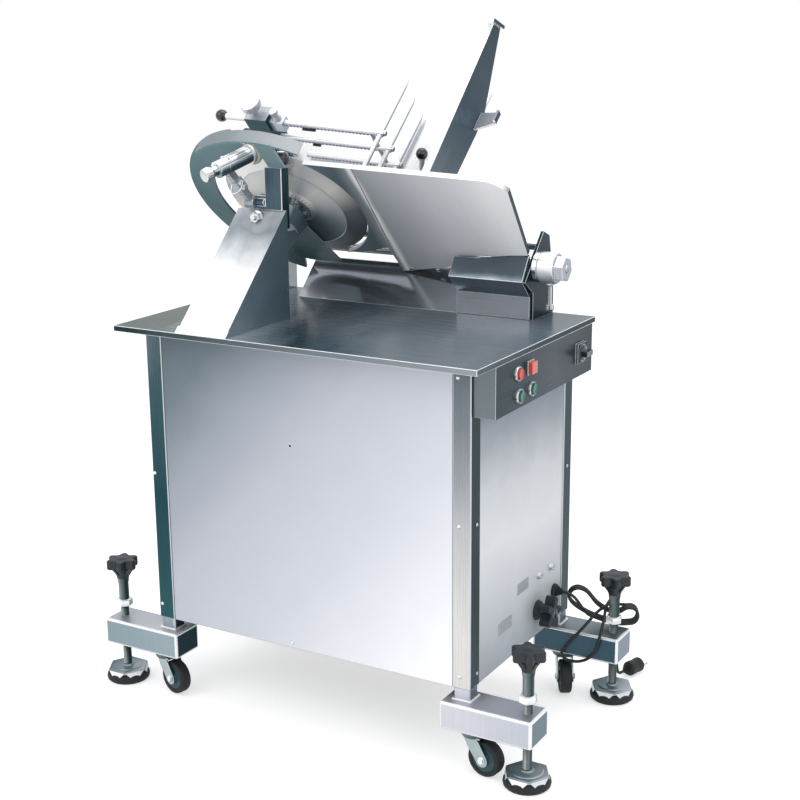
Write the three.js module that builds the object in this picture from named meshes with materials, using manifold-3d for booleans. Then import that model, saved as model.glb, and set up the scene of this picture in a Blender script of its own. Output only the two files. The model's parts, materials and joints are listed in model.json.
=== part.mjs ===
// A floor-standing automatic meat slicer: a steel cabinet on levelling feet and swivel casters,
// a stainless worktop, and a slicing head tilted 45 degrees, whose hopper runs left and right
// behind a round blade. Millimetres, +Z up. X runs to the right, Y to the back.
// The model is drawn from the floor under the cabinet's front right corner, and the finished
// group is moved so that the origin lies under the middle of the machine.

import * as THREE from "three";
import { mergeVertices } from "three/addons/utils/BufferGeometryUtils.js";
import Module from "manifold-3d";

const wasm = await Module();
wasm.setup();

// Shared clearances
const seatGap = 0.3;
const cutOverrun = 2;

// Cabinet
const cabinetWidth = 773;
const cabinetDepth = 474;
const cabinetBottom = 180;
const postSize = 40;
const postWall = 2.5;
const stubSize = 36;
const stubLap = 10;
const panelSheet = 2;
const panelRecess = 2;
const traySheet = 3;

// Worktop
const worktopHeight = 850;
const worktopSheet = 3;
const worktopLip = 12;
const lipSheet = 2;
const overhangFront = 72;
const overhangRight = 48;
const overhangLeft = 23;

// Outriggers that carry the feet and casters, measured from the corner of the cabinet
const outriggerOut = 142;
const outriggerIn = 59;
const outriggerTop = 155;
const outriggerHeight = 59;
const outriggerProud = 22;
const outriggerDepth = 79;

// Levelling feet
const jackReach = 117;
const jackRadius = 9.5;
const jackBoreClearance = 0.6;
const jackSleeveRadius = 11.5;
const jackNutAcross = 32;
const jackNutHeight = 15;
const jackNutLift = 24;
const knobRadius = 36;
const knobThickness = 22;
const knobHubRadius = 21;
const knobHubHeight = 24;
const knobHubFoot = 13.5;
const knobLobes = 6;
const knobLobeShare = 0.14;
const knobTop = 290;
const padRadius = 48.4;
const padHeight = 26;
const padShoulderHeight = 8;
const padTopRadius = 34;
const padPlateRadius = 46;
const padPlateHeight = 6.5;

// Swivel casters
const wheelRadius = 37.5;
const wheelWidth = 26;
const wheelLift = 0.8;
const axleRadius = 5;
const hubRadius = 13;
const hubSide = 2;
const casterTrail = 30;
const forkSheet = 3;
const forkWidth = 26;
const forkCrown = 8;
const casterPlateRadius = 27;
const casterPlateHeight = 7;
const kingpinRadius = 14;

// Control box on the right, under the worktop
const boxWidth = 47;
const boxRearMargin = 13;
const boxDrop = 113;
const boxFront = 7;
const boxBack = cabinetDepth - boxRearMargin;
const boxBottom = worktopHeight - boxDrop;
const buttonRadius = 11;
const buttonLength = 9;
const buttonTravelGap = 6;
const bezelRadius = 14.5;
const bezelHeight = 4;
const pilotSide = 24;
const pilotDepth = 11;
const switchBaseSide = 42;
const switchBaseDepth = 6;
const switchKnobLength = 34;
const switchKnobWidth = 12;
const switchKnobDepth = 18;
const stopInward = 101;
const stopDrop = 44;
const pilotInward = 155;
const pilotDrop = 42;
const bladeButtonInward = 107;
const bladeButtonDrop = 89;
const carriageButtonInward = 163;
const carriageButtonDrop = 87;
const switchSetback = 78;
const switchDrop = 62;
const stopPlace = [stopInward, worktopHeight - stopDrop];
const pilotPlace = [pilotInward, worktopHeight - pilotDrop];
const bladeButtonPlace = [bladeButtonInward, worktopHeight - bladeButtonDrop];
const carriageButtonPlace = [carriageButtonInward, worktopHeight - carriageButtonDrop];
const switchPlace = [cabinetDepth - switchSetback, worktopHeight - switchDrop];

// Fittings of the right panel, given as depth and height
const handKnobSetback = 161;
const handKnobLift = 56;
const glandSetback = 76;
const glandLift = 71;
const fuseFrontSetback = 156;
const fuseFrontLift = 134;
const fuseRearSetback = 96;
const fuseRearLift = 133;
const handKnobPlace = [cabinetDepth - handKnobSetback, cabinetBottom + handKnobLift];
const glandPlace = [cabinetDepth - glandSetback, cabinetBottom + glandLift];
const fuseFrontPlace = [cabinetDepth - fuseFrontSetback, cabinetBottom + fuseFrontLift];
const fuseRearPlace = [cabinetDepth - fuseRearSetback, cabinetBottom + fuseRearLift];
const handKnobRadius = 36;
const handKnobLobes = 5;
const handKnobLobeShare = 0.28;
const handKnobDepth = 24;
const handKnobStandoff = 18;
const handKnobShaft = 12;
const handKnobHubRadius = 22;
const glandRadius = 15;
const glandLength = 22;
const glandNeckRadius = 9;
const glandNeckLength = 12;
const fuseRadius = 9;
const fuseDepth = 8;

// The tilted head. Its own axes are x along the machine, s back along the feed, u up the plate.
const tilt = Math.PI / 4;
const headSetback = 107;
const headRise = 135;
const headDepth = cabinetDepth - headSetback;
const headHeight = worktopHeight + headRise;

// Blade, in the head's axes
const bladeX = -578;
const bladeU = 118;
const bladeRadius = 165;
const bladeBevel = 42;
const bladeRidge = 20;
const bladeRidgeRadius = bladeRadius - bladeBevel;
const bladeLandRadius = bladeRidgeRadius - bladeRidge;
const bladeEdgeS = 12;
const bladeEdgeThickness = 1.2;
const bladeRidgeS = -3;
const bladeDishRadius = 52;
const bladeDishS = 1;
const bladeHubRadius = 40;
const bladeHubS = -5;
const bladeHollowS = 8;
const bladeShaftRadius = 14;
const bladeShaftLength = 34;

// Gauge plate. Outline points are x and u.
const plateThickness = 12;
const plateTravel = 12;
const plateClearance = 6;
const plateArcRadius = bladeRadius + plateClearance;
const plateArcFrom = -68;
const plateArcTo = 58;
const plateBottomRight = [-59, 1.5];
const plateBottomLeft = [-232, -20];
const plateDropRight = [-250, -60];
const plateDropLeft = [-393, -95];
const plateStepUp = [-397, -8];
const plateHeelInset = 37;
const plateHeelLift = 17;
const plateHeel = [bladeX + bladeRadius - plateHeelInset, bladeU - bladeRadius + plateHeelLift];
const plateTopRight = [-76, 238];
const plateShoulder = [-50, 230];
const plateCornerRight = [-36, 207];
const plateSeat = 0.6;
const seamWidth = 2;
const seamDepth = 1.6;
const seamTop = [-369, 262];
const seamBottom = [-392.5, -96];

// Blade guard: a flat ring on the left with a rim over the top, a lug for the arm and a foot
const guardAside = 4;
const guardClearance = 25;
const guardWidth = 57;
const guardX = bladeX + guardAside;
const guardInner = bladeRadius + guardClearance;
const guardOuter = guardInner + guardWidth;
const guardFront = -2;
const guardThickness = 6;
const guardFrom = 100;
const guardTo = 250;
const rimFrom = 60;
const rimTo = 125;
const rimDepth = 30;
const rimWall = 6;
const lugAside = 33;
const lugWidth = 40;
const lugLeft = bladeX + lugAside;
const lugRight = lugLeft + lugWidth;
const lugThickness = 5;
const lugLap = 9;

// Slice deflector in front of the blade
const deflectorMargin = 7;
const deflectorRadius = bladeRadius + deflectorMargin;
const deflectorThickness = 3;
const deflectorTop = [-585, 165];
const deflectorBottom = [-525, -46];
const deflectorLeft = -640;

// Column and its bearing block, in machine Y and Z
const columnAside = 55;
const columnWidth = 120;
const columnLeft = bladeX - columnAside;
const columnRight = columnLeft + columnWidth;
const columnInset = 2;
const columnFront = columnInset - overhangFront;
const columnCrown = 5;
const columnBackS = -20;
const hubHousingRadius = 34;
const hubHousingLength = 42;
const hubCapThickness = 8;
const hubFootHalf = 30;
const hubFootBottom = headHeight - 35;
const hubFootTop = headHeight + 40;
const skirtHeight = 12;
const skirtProud = 3;

// Rear housing with its 45 degree chute, and the pedestal under the gauge plate
const housingLeft = columnLeft;
const chuteRight = -226;
const chuteSetback = 5;
const housingSetback = 103;
const housingFrontY = headDepth + chuteSetback;
const housingBackY = headDepth + housingSetback;
const chuteRise = 81;
const chuteCrown = 4;
const pedestalHeight = 57;
const ledgeOut = 38;
const ledgeHeight = 85;
const bandWall = 9;
const bandShelf = 18;
const bandTopU = -0.5;

// End plate on the right. Its outline is in Y and Z from the head's own origin.
const endPlateRight = -50;
const endPlateSheet = 7;
const endPlateFootFront = 7;
const endPlateFootBack = 109;
const endPlateNose = [-33, -50];
const endPlateApex = [56, 45];
const endPlateShoulder = [85, 33];
const endPlateWaist = [108, -73];

// Thickness hand nut
const nutSetback = 24;
const nutDrop = 25;
const nutY = headDepth + nutSetback;
const nutZ = headHeight - nutDrop;
const nutFlangeRadius = 31.5;
const nutFlangeLength = 12;
const nutBodyRadius = 33;
const nutBodyLength = 36;
const nutNoseAcross = 48;
const nutNoseLength = 20;
const nutSpokeRadius = 4.5;
const nutSpokeLength = 46;
const nutGripRadius = 9;
const nutGripLength = 13.5;
const nutShaftRadius = 10;
const nutShaftLength = 11;

// Sharpener above the blade. Its axis is a direction in the machine's own X, Y, Z.
const stoneAside = 3;
const stoneX = bladeX + stoneAside;
const stoneS = -14;
const stoneReach = 30;
const stoneU = bladeU + bladeRadius + stoneReach;
const sharpenerAim = [0.25, 0.92, 0.29];
const stoneRadius = 25;
const stoneFaceRadius = 21;
const stoneLength = 15;
const stoneShaftRadius = 6;
const stoneBoreRadius = 6.5;
const sharpenerRingRadius = 21;
const sharpenerRingLength = 7;
const sharpenerBodyRadius = 17.5;
const sharpenerBodyLength = 86;
const sharpenerNeckRadius = 11;
const sharpenerNeckLength = 14;
const sharpenerKnobRadius = 14;
const sharpenerKnobLength = 20;
const linkWidth = 16;
const linkThickness = 12;
const linkPinRadius = 7;
const linkPinLength = 24;
const linkBossRadius = 14;
const linkAside = 16;
const linkDrop = 73;
const linkMountAhead = 88;

// Arm and knob on the crown of the column
const armKnobInset = 8;
const armKnobSetback = 14.5;
const armAside = 18;
const armWidth = 42;
const armLeft = bladeX + armAside;
const armRight = armLeft + armWidth;
const armAhead = 52;
const armRise = 15;
const armDepth = 28;
const armHeight = 84;
const armFrontY = headDepth - bladeRadius - armAhead;
const armBackY = armFrontY + armDepth;
const armTop = headHeight + bladeRadius + armRise;
const armBackDrop = 40;
const armCrownStep = 11;
const columnApexY = armFrontY + armCrownStep;
const columnApexZ = armTop - armHeight;
const armKnobX = armRight - armKnobInset;
const armKnobY = armFrontY + armKnobSetback;
const linkStart = [bladeX - linkAside, armFrontY, armTop - linkDrop];
const linkMount = [bladeX - linkAside, armFrontY - linkMountAhead];
const armKnobRadius = 14;
const armKnobHeight = 27;
const armKnobChamfer = 4;

// Hopper on its carriage. The hopper is pinned at one point of the head and rolled a little
// about the machine's Y axis. Its places are x, s and u from that point.
const hopperX = -350;
const hopperU = 150;
const hopperRoll = 3.5 * Math.PI / 180;
const floorU = -110;
const floorSheet = 6;
const floorNear = 18;
const floorStep = 295;
const floorFar = 400;
const floorLeft = -420;
const floorStepLeft = -330;
const floorRight = 67;
const floorCorner = 34;
const wallSheet = 7;
const wallFoot = [22, -108];
const wallFront = [90, -7];
const wallTop = [489.5, 19];
const wallTip = [505, -11.5];
const wallHeel = [343, -101];
const wallRoot = [286, -108];
const wallFlange = 12;
const wallFlangeSheet = 4;
const capNear = [486, 41];
const capFar = [512, -10];
const capThickness = 8;
const capHalf = 12.5;
const pullNear = 284;
const pullFar = 332;
const pullReach = 55;
const pullSheet = 6;
const pullLip = 9;
const pullLift = 12;
const pullTaper = 10;
const pullSlope = 0.34;

// Meat fence: rods along X, each ending in a pointed bar along the feed
const fenceX = -67;
const fenceRodS = 168;
const fenceBarUs = [13, -38, -92];
const fenceRodLefts = [-486, -440, -300];
const fenceBarRadius = 5.5;
const fenceBarNear = 24;
const fenceBarFar = 300;
const fencePoint = 20;
const fenceRodRadius = 7;
const fenceBallRadius = 14;
const fenceTieX = -92;
const fenceTieRadius = 5;

// Block that guides the rods, with its lock knob
const blockLeft = -404;
const blockRight = -346;
const blockHalf = 20;
const blockTop = 36;
const rodClearance = 0.7;
const lockKnobRadius = 22;
const lockKnobHeight = 20;
const lockStemRadius = 8;
const lockStemHeight = 16;

// Product clamp lever beside the hopper wall
const leverX = 41;
const leverS = 68;
const leverU = -86;
const leverBallS = 137;
const leverBallU = -1;
const leverStemRadius = 6;
const leverBallRadius = 13;
const leverBossRadius = 14;
const leverHubRadius = 13;
const leverBossLength = 22;

// Guide rails behind the gauge plate, in the head's axes, and the block that runs on them
const railRadius = 11;
const railPlaces = [[48, -26], [38, -74]];
const railLeft = -712;
const railRight = -57;
const railPlateSheet = 8;
const railPlateMargin = 17.6;
const railPlateFoot = 32;
const railPlateHeel = [12, 6];
const sliderLeft = -400;
const sliderRight = -290;
const sliderNear = 19;
const sliderFar = 76;
const sliderBottom = -94;
const sliderTop = 42.6;
const sliderBoreClearance = 0.8;

// Geared motor on the tray in the cabinet
const motorX = -430;
const motorY = cabinetDepth / 2;
const motorRadius = 62;
const motorLength = 190;
const gearCaseWidth = 130;
const gearCaseDepth = 124;
const gearCaseHeight = 150;
const motorFootHeight = 12;
const motorFootMargin = 20;
const motorShaftRadius = 12;
const motorShaftLength = 40;
const pulleyRadius = 45;
const pulleyWidth = 24;

// Mains cord. Points are X, Y and Z from the mouth of its gland. The cord runs to a hank that
// leans on the corner post, hangs in one loose loop over the outrigger and ends on the floor.
const cordRadius = 3.3;
const cordSides = 8;
const cordApart = 26;
const cordSamplesPerPoint = 8;
const tailStepsPerPoint = 1.6;
const cordLead = [[0, 0, 0], [8, 0, 0], [16, 3, -3], [22, 9, -10], [27, 18, -22], [31, 28, -36],
  [34.5, 38, -49], [37.5, 46, -58.5]];
const cordTail = [[80, 104, -50], [75, 92, -45.5], [72, 76, -44], [68, 60, -46], [60, 42, -54],
  [51, 26, -68], [38, 14, -87], [20, 12, -109], [2, 12, -134], [-5, 12, -149], [1, 12, -160],
  [16, 12, -163], [34, 12, -161], [56, 12, -150], [72, 12, -130], [80, 12, -104], [86, 15, -76],
  [87, 26, -52], [83, 42, -39], [80, 60, -34], [78, 78, -32.5], [76, 95, -34.5], [75, 110, -44],
  [76, 119, -61], [77, 122, -84], [78, 122, -120], [79, 122, -160], [80, 124, -190],
  [80, 129, -212], [79, 138, -227], [79.4, 147.2, -233.6], [81.8, 155, -234.5], [84.3, 163, -234.5]];
const hankWaist = [68, 82, -73];
const hankAim = 27;
const hankLeftLength = 98;
const hankLeftRise = 38;
const hankRightLength = 70;
const hankRightRise = 6;
const hankBend = 45;
const hankLobe = 23;
const hankPinchShare = 0.64;
const hankPinchLength = 40;
const hankSharpness = 3;
const hankLoops = 4;
const hankPitch = 7.3;
const hankSteps = 24;
const hankSides = 6;
const hankFrom = 262;
const hankEnd = 68;
const plugLength = 40;
const plugRadius = 16.5;
const plugNeckLength = 14;
const plugNeckRadius = 5.3;
const plugAim = 73;
const pinRadius = 2.4;
const pinLength = 18;
const pinSpacing = 19;

// Materials
function finish(color, roughness, metalness) {
  return new THREE.MeshStandardMaterial({ color, roughness, metalness });
}

const brushedSteel = finish(0xc3c7ca, 0.34, 0.9);
const whiteSteel = finish(0xdfe2e4, 0.4, 0.55);
const darkSteel = finish(0x6d7f84, 0.22, 0.95);
const chrome = finish(0xdadde0, 0.1, 1);
const blackPlastic = finish(0x15181a, 0.45, 0);
const blackRubber = finish(0x111314, 0.8, 0);
const zinc = finish(0x86a0a0, 0.4, 0.8);
const redPlastic = finish(0xc42a22, 0.35, 0);
const orangePlastic = finish(0xd8462c, 0.3, 0);
const greenPlastic = finish(0x1e8f68, 0.35, 0);
const stoneGrit = finish(0xd8cfb4, 0.95, 0);
const motorPaint = finish(0x5c6f7c, 0.6, 0.2);

const slicer = new THREE.Group();
const machine = new THREE.Group();
slicer.add(machine);

const head = new THREE.Group();
head.position.set(0, headDepth, headHeight);
head.rotation.x = tilt;
machine.add(head);

const hopper = new THREE.Group();
hopper.position.copy(headPoint(hopperX, 0, hopperU));
hopper.rotation.order = "YXZ";
hopper.rotation.set(tilt, hopperRoll, 0);
machine.add(hopper);

// Solids, joins and cuts
function headPoint(x, s, u) {
  const y = headDepth + s * Math.cos(tilt) - u * Math.sin(tilt);
  const z = headHeight + s * Math.sin(tilt) + u * Math.cos(tilt);
  return new THREE.Vector3(x, y, z);
}

function toSolid(geometry) {
  const bare = geometry.clone();
  bare.deleteAttribute("normal");
  bare.deleteAttribute("uv");
  const merged = mergeVertices(bare, 1e-4);
  const vertProperties = new Float32Array(merged.attributes.position.array);
  const triVerts = new Uint32Array(merged.index.array);
  return new wasm.Manifold(new wasm.Mesh({ numProp: 3, vertProperties, triVerts }));
}

function toGeometry(solid) {
  const mesh = solid.getMesh();
  const geometry = new THREE.BufferGeometry();
  geometry.setAttribute("position", new THREE.BufferAttribute(mesh.vertProperties, 3));
  geometry.setIndex(new THREE.BufferAttribute(mesh.triVerts, 1));
  geometry.computeVertexNormals();
  return geometry;
}

function join(...geometries) {
  const solids = geometries.map(toSolid);
  return toGeometry(solids.reduce((whole, next) => whole.add(next)));
}

function cut(geometry, ...tools) {
  const start = toSolid(geometry);
  return toGeometry(tools.map(toSolid).reduce((whole, tool) => whole.subtract(tool), start));
}

function box(x0, x1, y0, y1, z0, z1) {
  const geometry = new THREE.BoxGeometry(x1 - x0, y1 - y0, z1 - z0);
  return geometry.translate((x0 + x1) / 2, (y0 + y1) / 2, (z0 + z1) / 2);
}

function along(geometry, start, direction) {
  const up = new THREE.Vector3(0, 1, 0);
  const turn = new THREE.Quaternion().setFromUnitVectors(up, direction.clone().normalize());
  geometry.applyQuaternion(turn);
  return geometry.translate(start.x, start.y, start.z);
}

function rod(start, direction, length, radius, sides = 16, endRadius = radius) {
  const geometry = new THREE.CylinderGeometry(endRadius, radius, length, sides);
  geometry.translate(0, length / 2, 0);
  return along(geometry, start, direction);
}

function turned(profile, start, direction, sides = 24) {
  const points = profile.map(([radius, height]) => new THREE.Vector2(radius, height));
  return along(new THREE.LatheGeometry(points, sides), start, direction);
}

const axisX = new THREE.Vector3(1, 0, 0);
const axisY = new THREE.Vector3(0, 1, 0);
const axisZ = new THREE.Vector3(0, 0, 1);

function at(x, y, z) {
  return new THREE.Vector3(x, y, z);
}

// Outline in Y and Z, pulled along X
function sideProfile(points, x0, x1) {
  const shape = new THREE.Shape(points.map(([y, z]) => new THREE.Vector2(y, z)));
  const geometry = new THREE.ExtrudeGeometry(shape, { depth: x1 - x0, bevelEnabled: false });
  geometry.applyMatrix4(new THREE.Matrix4().makeBasis(axisY, axisZ, axisX));
  return geometry.translate(x0, 0, 0);
}

// Outline in X and Z, pulled along Y
function frontProfile(shape, y0, y1, curveSegments = 12) {
  const depth = y1 - y0;
  const geometry = new THREE.ExtrudeGeometry(shape, { depth, bevelEnabled: false, curveSegments });
  geometry.applyMatrix4(new THREE.Matrix4().makeBasis(axisX, axisZ, axisY.clone().negate()));
  return geometry.translate(0, y1, 0);
}

// Outline in X and Y, pulled along Z
function topProfile(shape, z0, z1, curveSegments = 12) {
  const depth = z1 - z0;
  const geometry = new THREE.ExtrudeGeometry(shape, { depth, bevelEnabled: false, curveSegments });
  return geometry.translate(0, 0, z0);
}

function polygonShape(points) {
  return new THREE.Shape(points.map(([a, b]) => new THREE.Vector2(a, b)));
}

// A round outline with rounded lobes, from one formula
function lobedShape(radius, lobes, share) {
  const steps = lobes * 4;
  const points = [];
  for (let i = 0; i < steps; i += 1) {
    const angle = 2 * Math.PI * i / steps;
    const reach = radius * (1 - share + share * Math.cos(lobes * angle));
    points.push([reach * Math.cos(angle), reach * Math.sin(angle)]);
  }
  return polygonShape(points);
}

function hexagonShape(across) {
  const points = [];
  const corner = across / Math.sqrt(3);
  for (let i = 0; i < 6; i += 1) {
    const angle = Math.PI * i / 3;
    points.push([corner * Math.cos(angle), corner * Math.sin(angle)]);
  }
  return polygonShape(points);
}

function piece(parent, name, geometry, material) {
  const mesh = new THREE.Mesh(geometry, material);
  mesh.name = name;
  parent.add(mesh);
  return mesh;
}

const radians = (degrees) => degrees * Math.PI / 180;

// The four corners share one drawing, mirrored by side and end
const corners = [
  { name: "front_right", side: 1, end: 1, swing: -8 },
  { name: "front_left", side: -1, end: 1, swing: -14 },
  { name: "rear_right", side: 1, end: -1, swing: -60 },
  { name: "rear_left", side: -1, end: -1, swing: -12 },
];

function cornerX(corner, outward) {
  return corner.side > 0 ? outward : -cabinetWidth - outward;
}

function cornerY(corner, inward) {
  return corner.end > 0 ? inward : cabinetDepth - inward;
}

function cornerBox(corner, out0, out1, in0, in1, z0, z1) {
  const xs = [cornerX(corner, out0), cornerX(corner, out1)].sort((a, b) => a - b);
  const ys = [cornerY(corner, in0), cornerY(corner, in1)].sort((a, b) => a - b);
  return box(xs[0], xs[1], ys[0], ys[1], z0, z1);
}

const outriggerMiddle = outriggerDepth / 2 - outriggerProud;
const outriggerBottom = outriggerTop - outriggerHeight;
const worktopUnderside = worktopHeight - worktopSheet;

function makeCornerLeg(corner) {
  const top = worktopUnderside - seatGap;
  const post = cornerBox(corner, -postSize, 0, 0, postSize, cabinetBottom, top);
  const hollow = cornerBox(corner, postWall - postSize, -postWall, postWall,
    postSize - postWall, cabinetBottom - cutOverrun, top + cutOverrun);
  const inset = (postSize - stubSize) / 2;
  const stub = cornerBox(corner, inset - postSize, -inset, inset, postSize - inset,
    outriggerTop - cutOverrun, cabinetBottom + stubLap);
  const outrigger = cornerBox(corner, -outriggerIn, outriggerOut, -outriggerProud,
    outriggerDepth - outriggerProud, outriggerBottom, outriggerTop);
  const boreStart = at(cornerX(corner, jackReach), cornerY(corner, outriggerMiddle),
    outriggerBottom - cutOverrun);
  const bore = rod(boreStart, axisZ, outriggerHeight + 2 * cutOverrun,
    jackRadius + jackBoreClearance, 16);
  const leg = join(cut(post, hollow), stub, cut(outrigger, bore));
  piece(machine, `corner_leg_${corner.name}`, leg, darkSteel);
}

function makeJack(corner) {
  const x = cornerX(corner, jackReach);
  const y = cornerY(corner, outriggerMiddle);
  const padTop = padHeight + padPlateHeight;
  const screwBottom = padTop + seatGap;
  const knobBottom = knobTop - knobThickness;
  const hubBottom = knobBottom - knobHubHeight;
  const nutBottom = outriggerTop + jackNutLift;
  const screw = rod(at(x, y, screwBottom), axisZ, nutBottom - screwBottom + cutOverrun, jackRadius, 14);
  const sleeve = rod(at(x, y, nutBottom + cutOverrun), axisZ, hubBottom - nutBottom, jackSleeveRadius, 14);
  const nut = topProfile(hexagonShape(jackNutAcross), 0, jackNutHeight);
  nut.translate(x, y, nutBottom);
  const grip = topProfile(lobedShape(knobRadius, knobLobes, knobLobeShare), knobBottom, knobTop);
  grip.translate(x, y, 0);
  const hub = rod(at(x, y, hubBottom), axisZ, knobHubHeight + cutOverrun, knobHubFoot, 16,
    knobHubRadius);
  piece(machine, `jack_screw_${corner.name}`, join(screw, sleeve, nut, grip, hub), blackPlastic);

  const dome = [[0, 0], [padRadius, 0], [padRadius, padShoulderHeight], [padTopRadius, padHeight],
    [0, padHeight]];
  const plate = topProfile(hexagonShape(padPlateRadius * Math.sqrt(3)), 0, padPlateHeight);
  plate.translate(x, y, padHeight - cutOverrun);
  const plateCap = rod(at(x, y, padHeight), axisZ, padPlateHeight, padTopRadius, 20);
  const foot = join(turned(dome, at(x, y, 0), axisZ, 24), plate, plateCap);
  piece(machine, `foot_pad_${corner.name}`, foot, blackRubber);
}

function makeCaster(corner) {
  const x = cornerX(corner, 0);
  const y = cornerY(corner, outriggerMiddle);
  const angle = radians(corner.swing);
  const rolling = new THREE.Vector3(Math.cos(angle), Math.sin(angle), 0);
  const axle = new THREE.Vector3(-Math.sin(angle), Math.cos(angle), 0);
  const wheelZ = wheelRadius + wheelLift;
  const centre = at(x, y, wheelZ).addScaledVector(rolling, casterTrail);
  const halfWheel = wheelWidth / 2;
  const profile = [[axleRadius + seatGap, -halfWheel - hubSide], [hubRadius, -halfWheel - hubSide],
    [hubRadius, -halfWheel], [wheelRadius - hubSide, -halfWheel], [wheelRadius, hubSide - halfWheel],
    [wheelRadius, halfWheel - hubSide], [wheelRadius - hubSide, halfWheel], [hubRadius, halfWheel],
    [hubRadius, halfWheel + hubSide], [axleRadius + seatGap, halfWheel + hubSide],
    [axleRadius + seatGap, -halfWheel - hubSide]];
  const wheel = turned(profile, centre, axle, 18);
  piece(machine, `caster_wheel_${corner.name}`, wheel, blackRubber);

  const inside = halfWheel + hubSide + seatGap;
  const plateBottom = outriggerBottom - seatGap - casterPlateHeight;
  const crownTop = plateBottom;
  const crownBottom = crownTop - forkCrown;
  const crown = rod(at(x, y, crownBottom), axisZ, forkCrown + cutOverrun, inside + forkSheet, 20);
  const kingpin = rod(at(x, y, crownTop), axisZ, casterPlateHeight, kingpinRadius, 16);
  const plate = rod(at(x, y, plateBottom), axisZ, casterPlateHeight, casterPlateRadius, 16);
  const cheeks = [-1, 1].map((sign) => {
    const low = wheelZ - forkWidth / 2;
    const outline = [[-forkWidth / 2, crownTop], [forkWidth / 2, crownTop],
      [casterTrail + forkWidth / 2, wheelZ], [casterTrail + forkWidth / 4, low],
      [casterTrail - forkWidth / 4, low]];
    const shape = polygonShape(outline);
    const near = sign > 0 ? inside : -inside - forkSheet;
    const cheek = frontProfile(shape, near, near + forkSheet);
    return cheek.rotateZ(angle).translate(x, y, 0);
  });
  const bridge = box(-forkWidth / 2, forkWidth, -inside - forkSheet, inside + forkSheet,
    crownBottom, crownTop);
  bridge.rotateZ(angle).translate(x, y, 0);
  const pinLength = 2 * (inside + forkSheet);
  const pinStart = centre.clone().addScaledVector(axle, -pinLength / 2);
  const pin = rod(pinStart, axle, pinLength, axleRadius, 12);
  piece(machine, `caster_fork_${corner.name}`, join(crown, kingpin, plate, bridge, ...cheeks, pin), zinc);
}

function makeCabinet() {
  const panelTop = worktopUnderside - seatGap;
  const left = postSize - cabinetWidth + seatGap;
  const right = -postSize - seatGap;
  const front = postSize + seatGap;
  const back = cabinetDepth - postSize - seatGap;
  const inner = panelRecess + panelSheet;
  piece(machine, "front_panel",
    box(left, right, panelRecess, inner, cabinetBottom, panelTop), whiteSteel);
  piece(machine, "back_panel",
    box(left, right, cabinetDepth - inner, cabinetDepth - panelRecess, cabinetBottom, panelTop),
    whiteSteel);
  piece(machine, "left_panel",
    box(panelRecess - cabinetWidth, inner - cabinetWidth, front, back, cabinetBottom, panelTop),
    whiteSteel);
  const rightPanel = box(-inner, -panelRecess, front, back, cabinetBottom, panelTop);
  const [glandY, glandZ] = glandPlace;
  const glandHole = rod(at(-inner - cutOverrun, glandY, glandZ), axisX, panelSheet + 2 * cutOverrun,
    glandNeckRadius, 16);
  piece(machine, "right_panel", cut(rightPanel, glandHole), whiteSteel);
  const trayEdge = inner + seatGap;
  piece(machine, "bottom_tray",
    box(left, right, trayEdge, cabinetDepth - trayEdge, cabinetBottom, cabinetBottom + traySheet),
    darkSteel);
}

function makeWorktop() {
  const x0 = -cabinetWidth - overhangLeft;
  const y0 = -overhangFront;
  const slab = box(x0, overhangRight, y0, cabinetDepth, worktopHeight - worktopLip, worktopHeight);
  const hollow = box(x0 + lipSheet, overhangRight - lipSheet, y0 + lipSheet, cabinetDepth + cutOverrun,
    worktopHeight - worktopLip - cutOverrun, worktopUnderside);
  piece(machine, "worktop", cut(slab, hollow), brushedSteel);
}

function makeControls() {
  const top = worktopHeight - worktopLip - seatGap;
  const inner = seatGap;
  const face = boxWidth;
  const places = [stopPlace, bladeButtonPlace, carriageButtonPlace];
  const bezels = places.map(([y, z]) => rod(at(face - cutOverrun, y, z), axisX,
    bezelHeight + cutOverrun, bezelRadius, 20));
  const wells = places.map(([y, z]) => rod(at(face - buttonTravelGap, y, z), axisX,
    buttonTravelGap + bezelHeight + cutOverrun, buttonRadius + seatGap, 20));
  const [switchY, switchZ] = switchPlace;
  const switchBase = box(face - cutOverrun, face + switchBaseDepth, switchY - switchBaseSide / 2,
    switchY + switchBaseSide / 2, switchZ - switchBaseSide / 2, switchZ + switchBaseSide / 2);
  const shell = join(box(inner, face, boxFront, boxBack, boxBottom, top), ...bezels, switchBase);
  piece(machine, "control_box", cut(shell, ...wells), brushedSteel);

  const buttons = [["stop_button", stopPlace, redPlastic],
    ["blade_start_button", bladeButtonPlace, greenPlastic],
    ["carriage_start_button", carriageButtonPlace, greenPlastic]];
  for (const [name, [y, z], material] of buttons) {
    piece(machine, name, rod(at(face + seatGap, y, z), axisX, buttonLength, buttonRadius, 20), material);
  }
  const [pilotY, pilotZ] = pilotPlace;
  const pilot = box(face + seatGap, face + pilotDepth, pilotY - pilotSide / 2, pilotY + pilotSide / 2,
    pilotZ - pilotSide / 2, pilotZ + pilotSide / 2);
  piece(machine, "pilot_lamp", pilot, orangePlastic);

  const turnStart = at(face + switchBaseDepth + seatGap, switchY, switchZ);
  const barrel = rod(turnStart, axisX, switchKnobDepth / 2, switchKnobLength / 2, 20);
  const handle = box(turnStart.x, turnStart.x + switchKnobDepth, switchY - switchKnobLength / 2,
    switchY + switchKnobLength / 2, switchZ - switchKnobWidth / 2, switchZ + switchKnobWidth / 2);
  piece(machine, "switch_knob", join(barrel, handle), blackPlastic);
}

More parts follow.
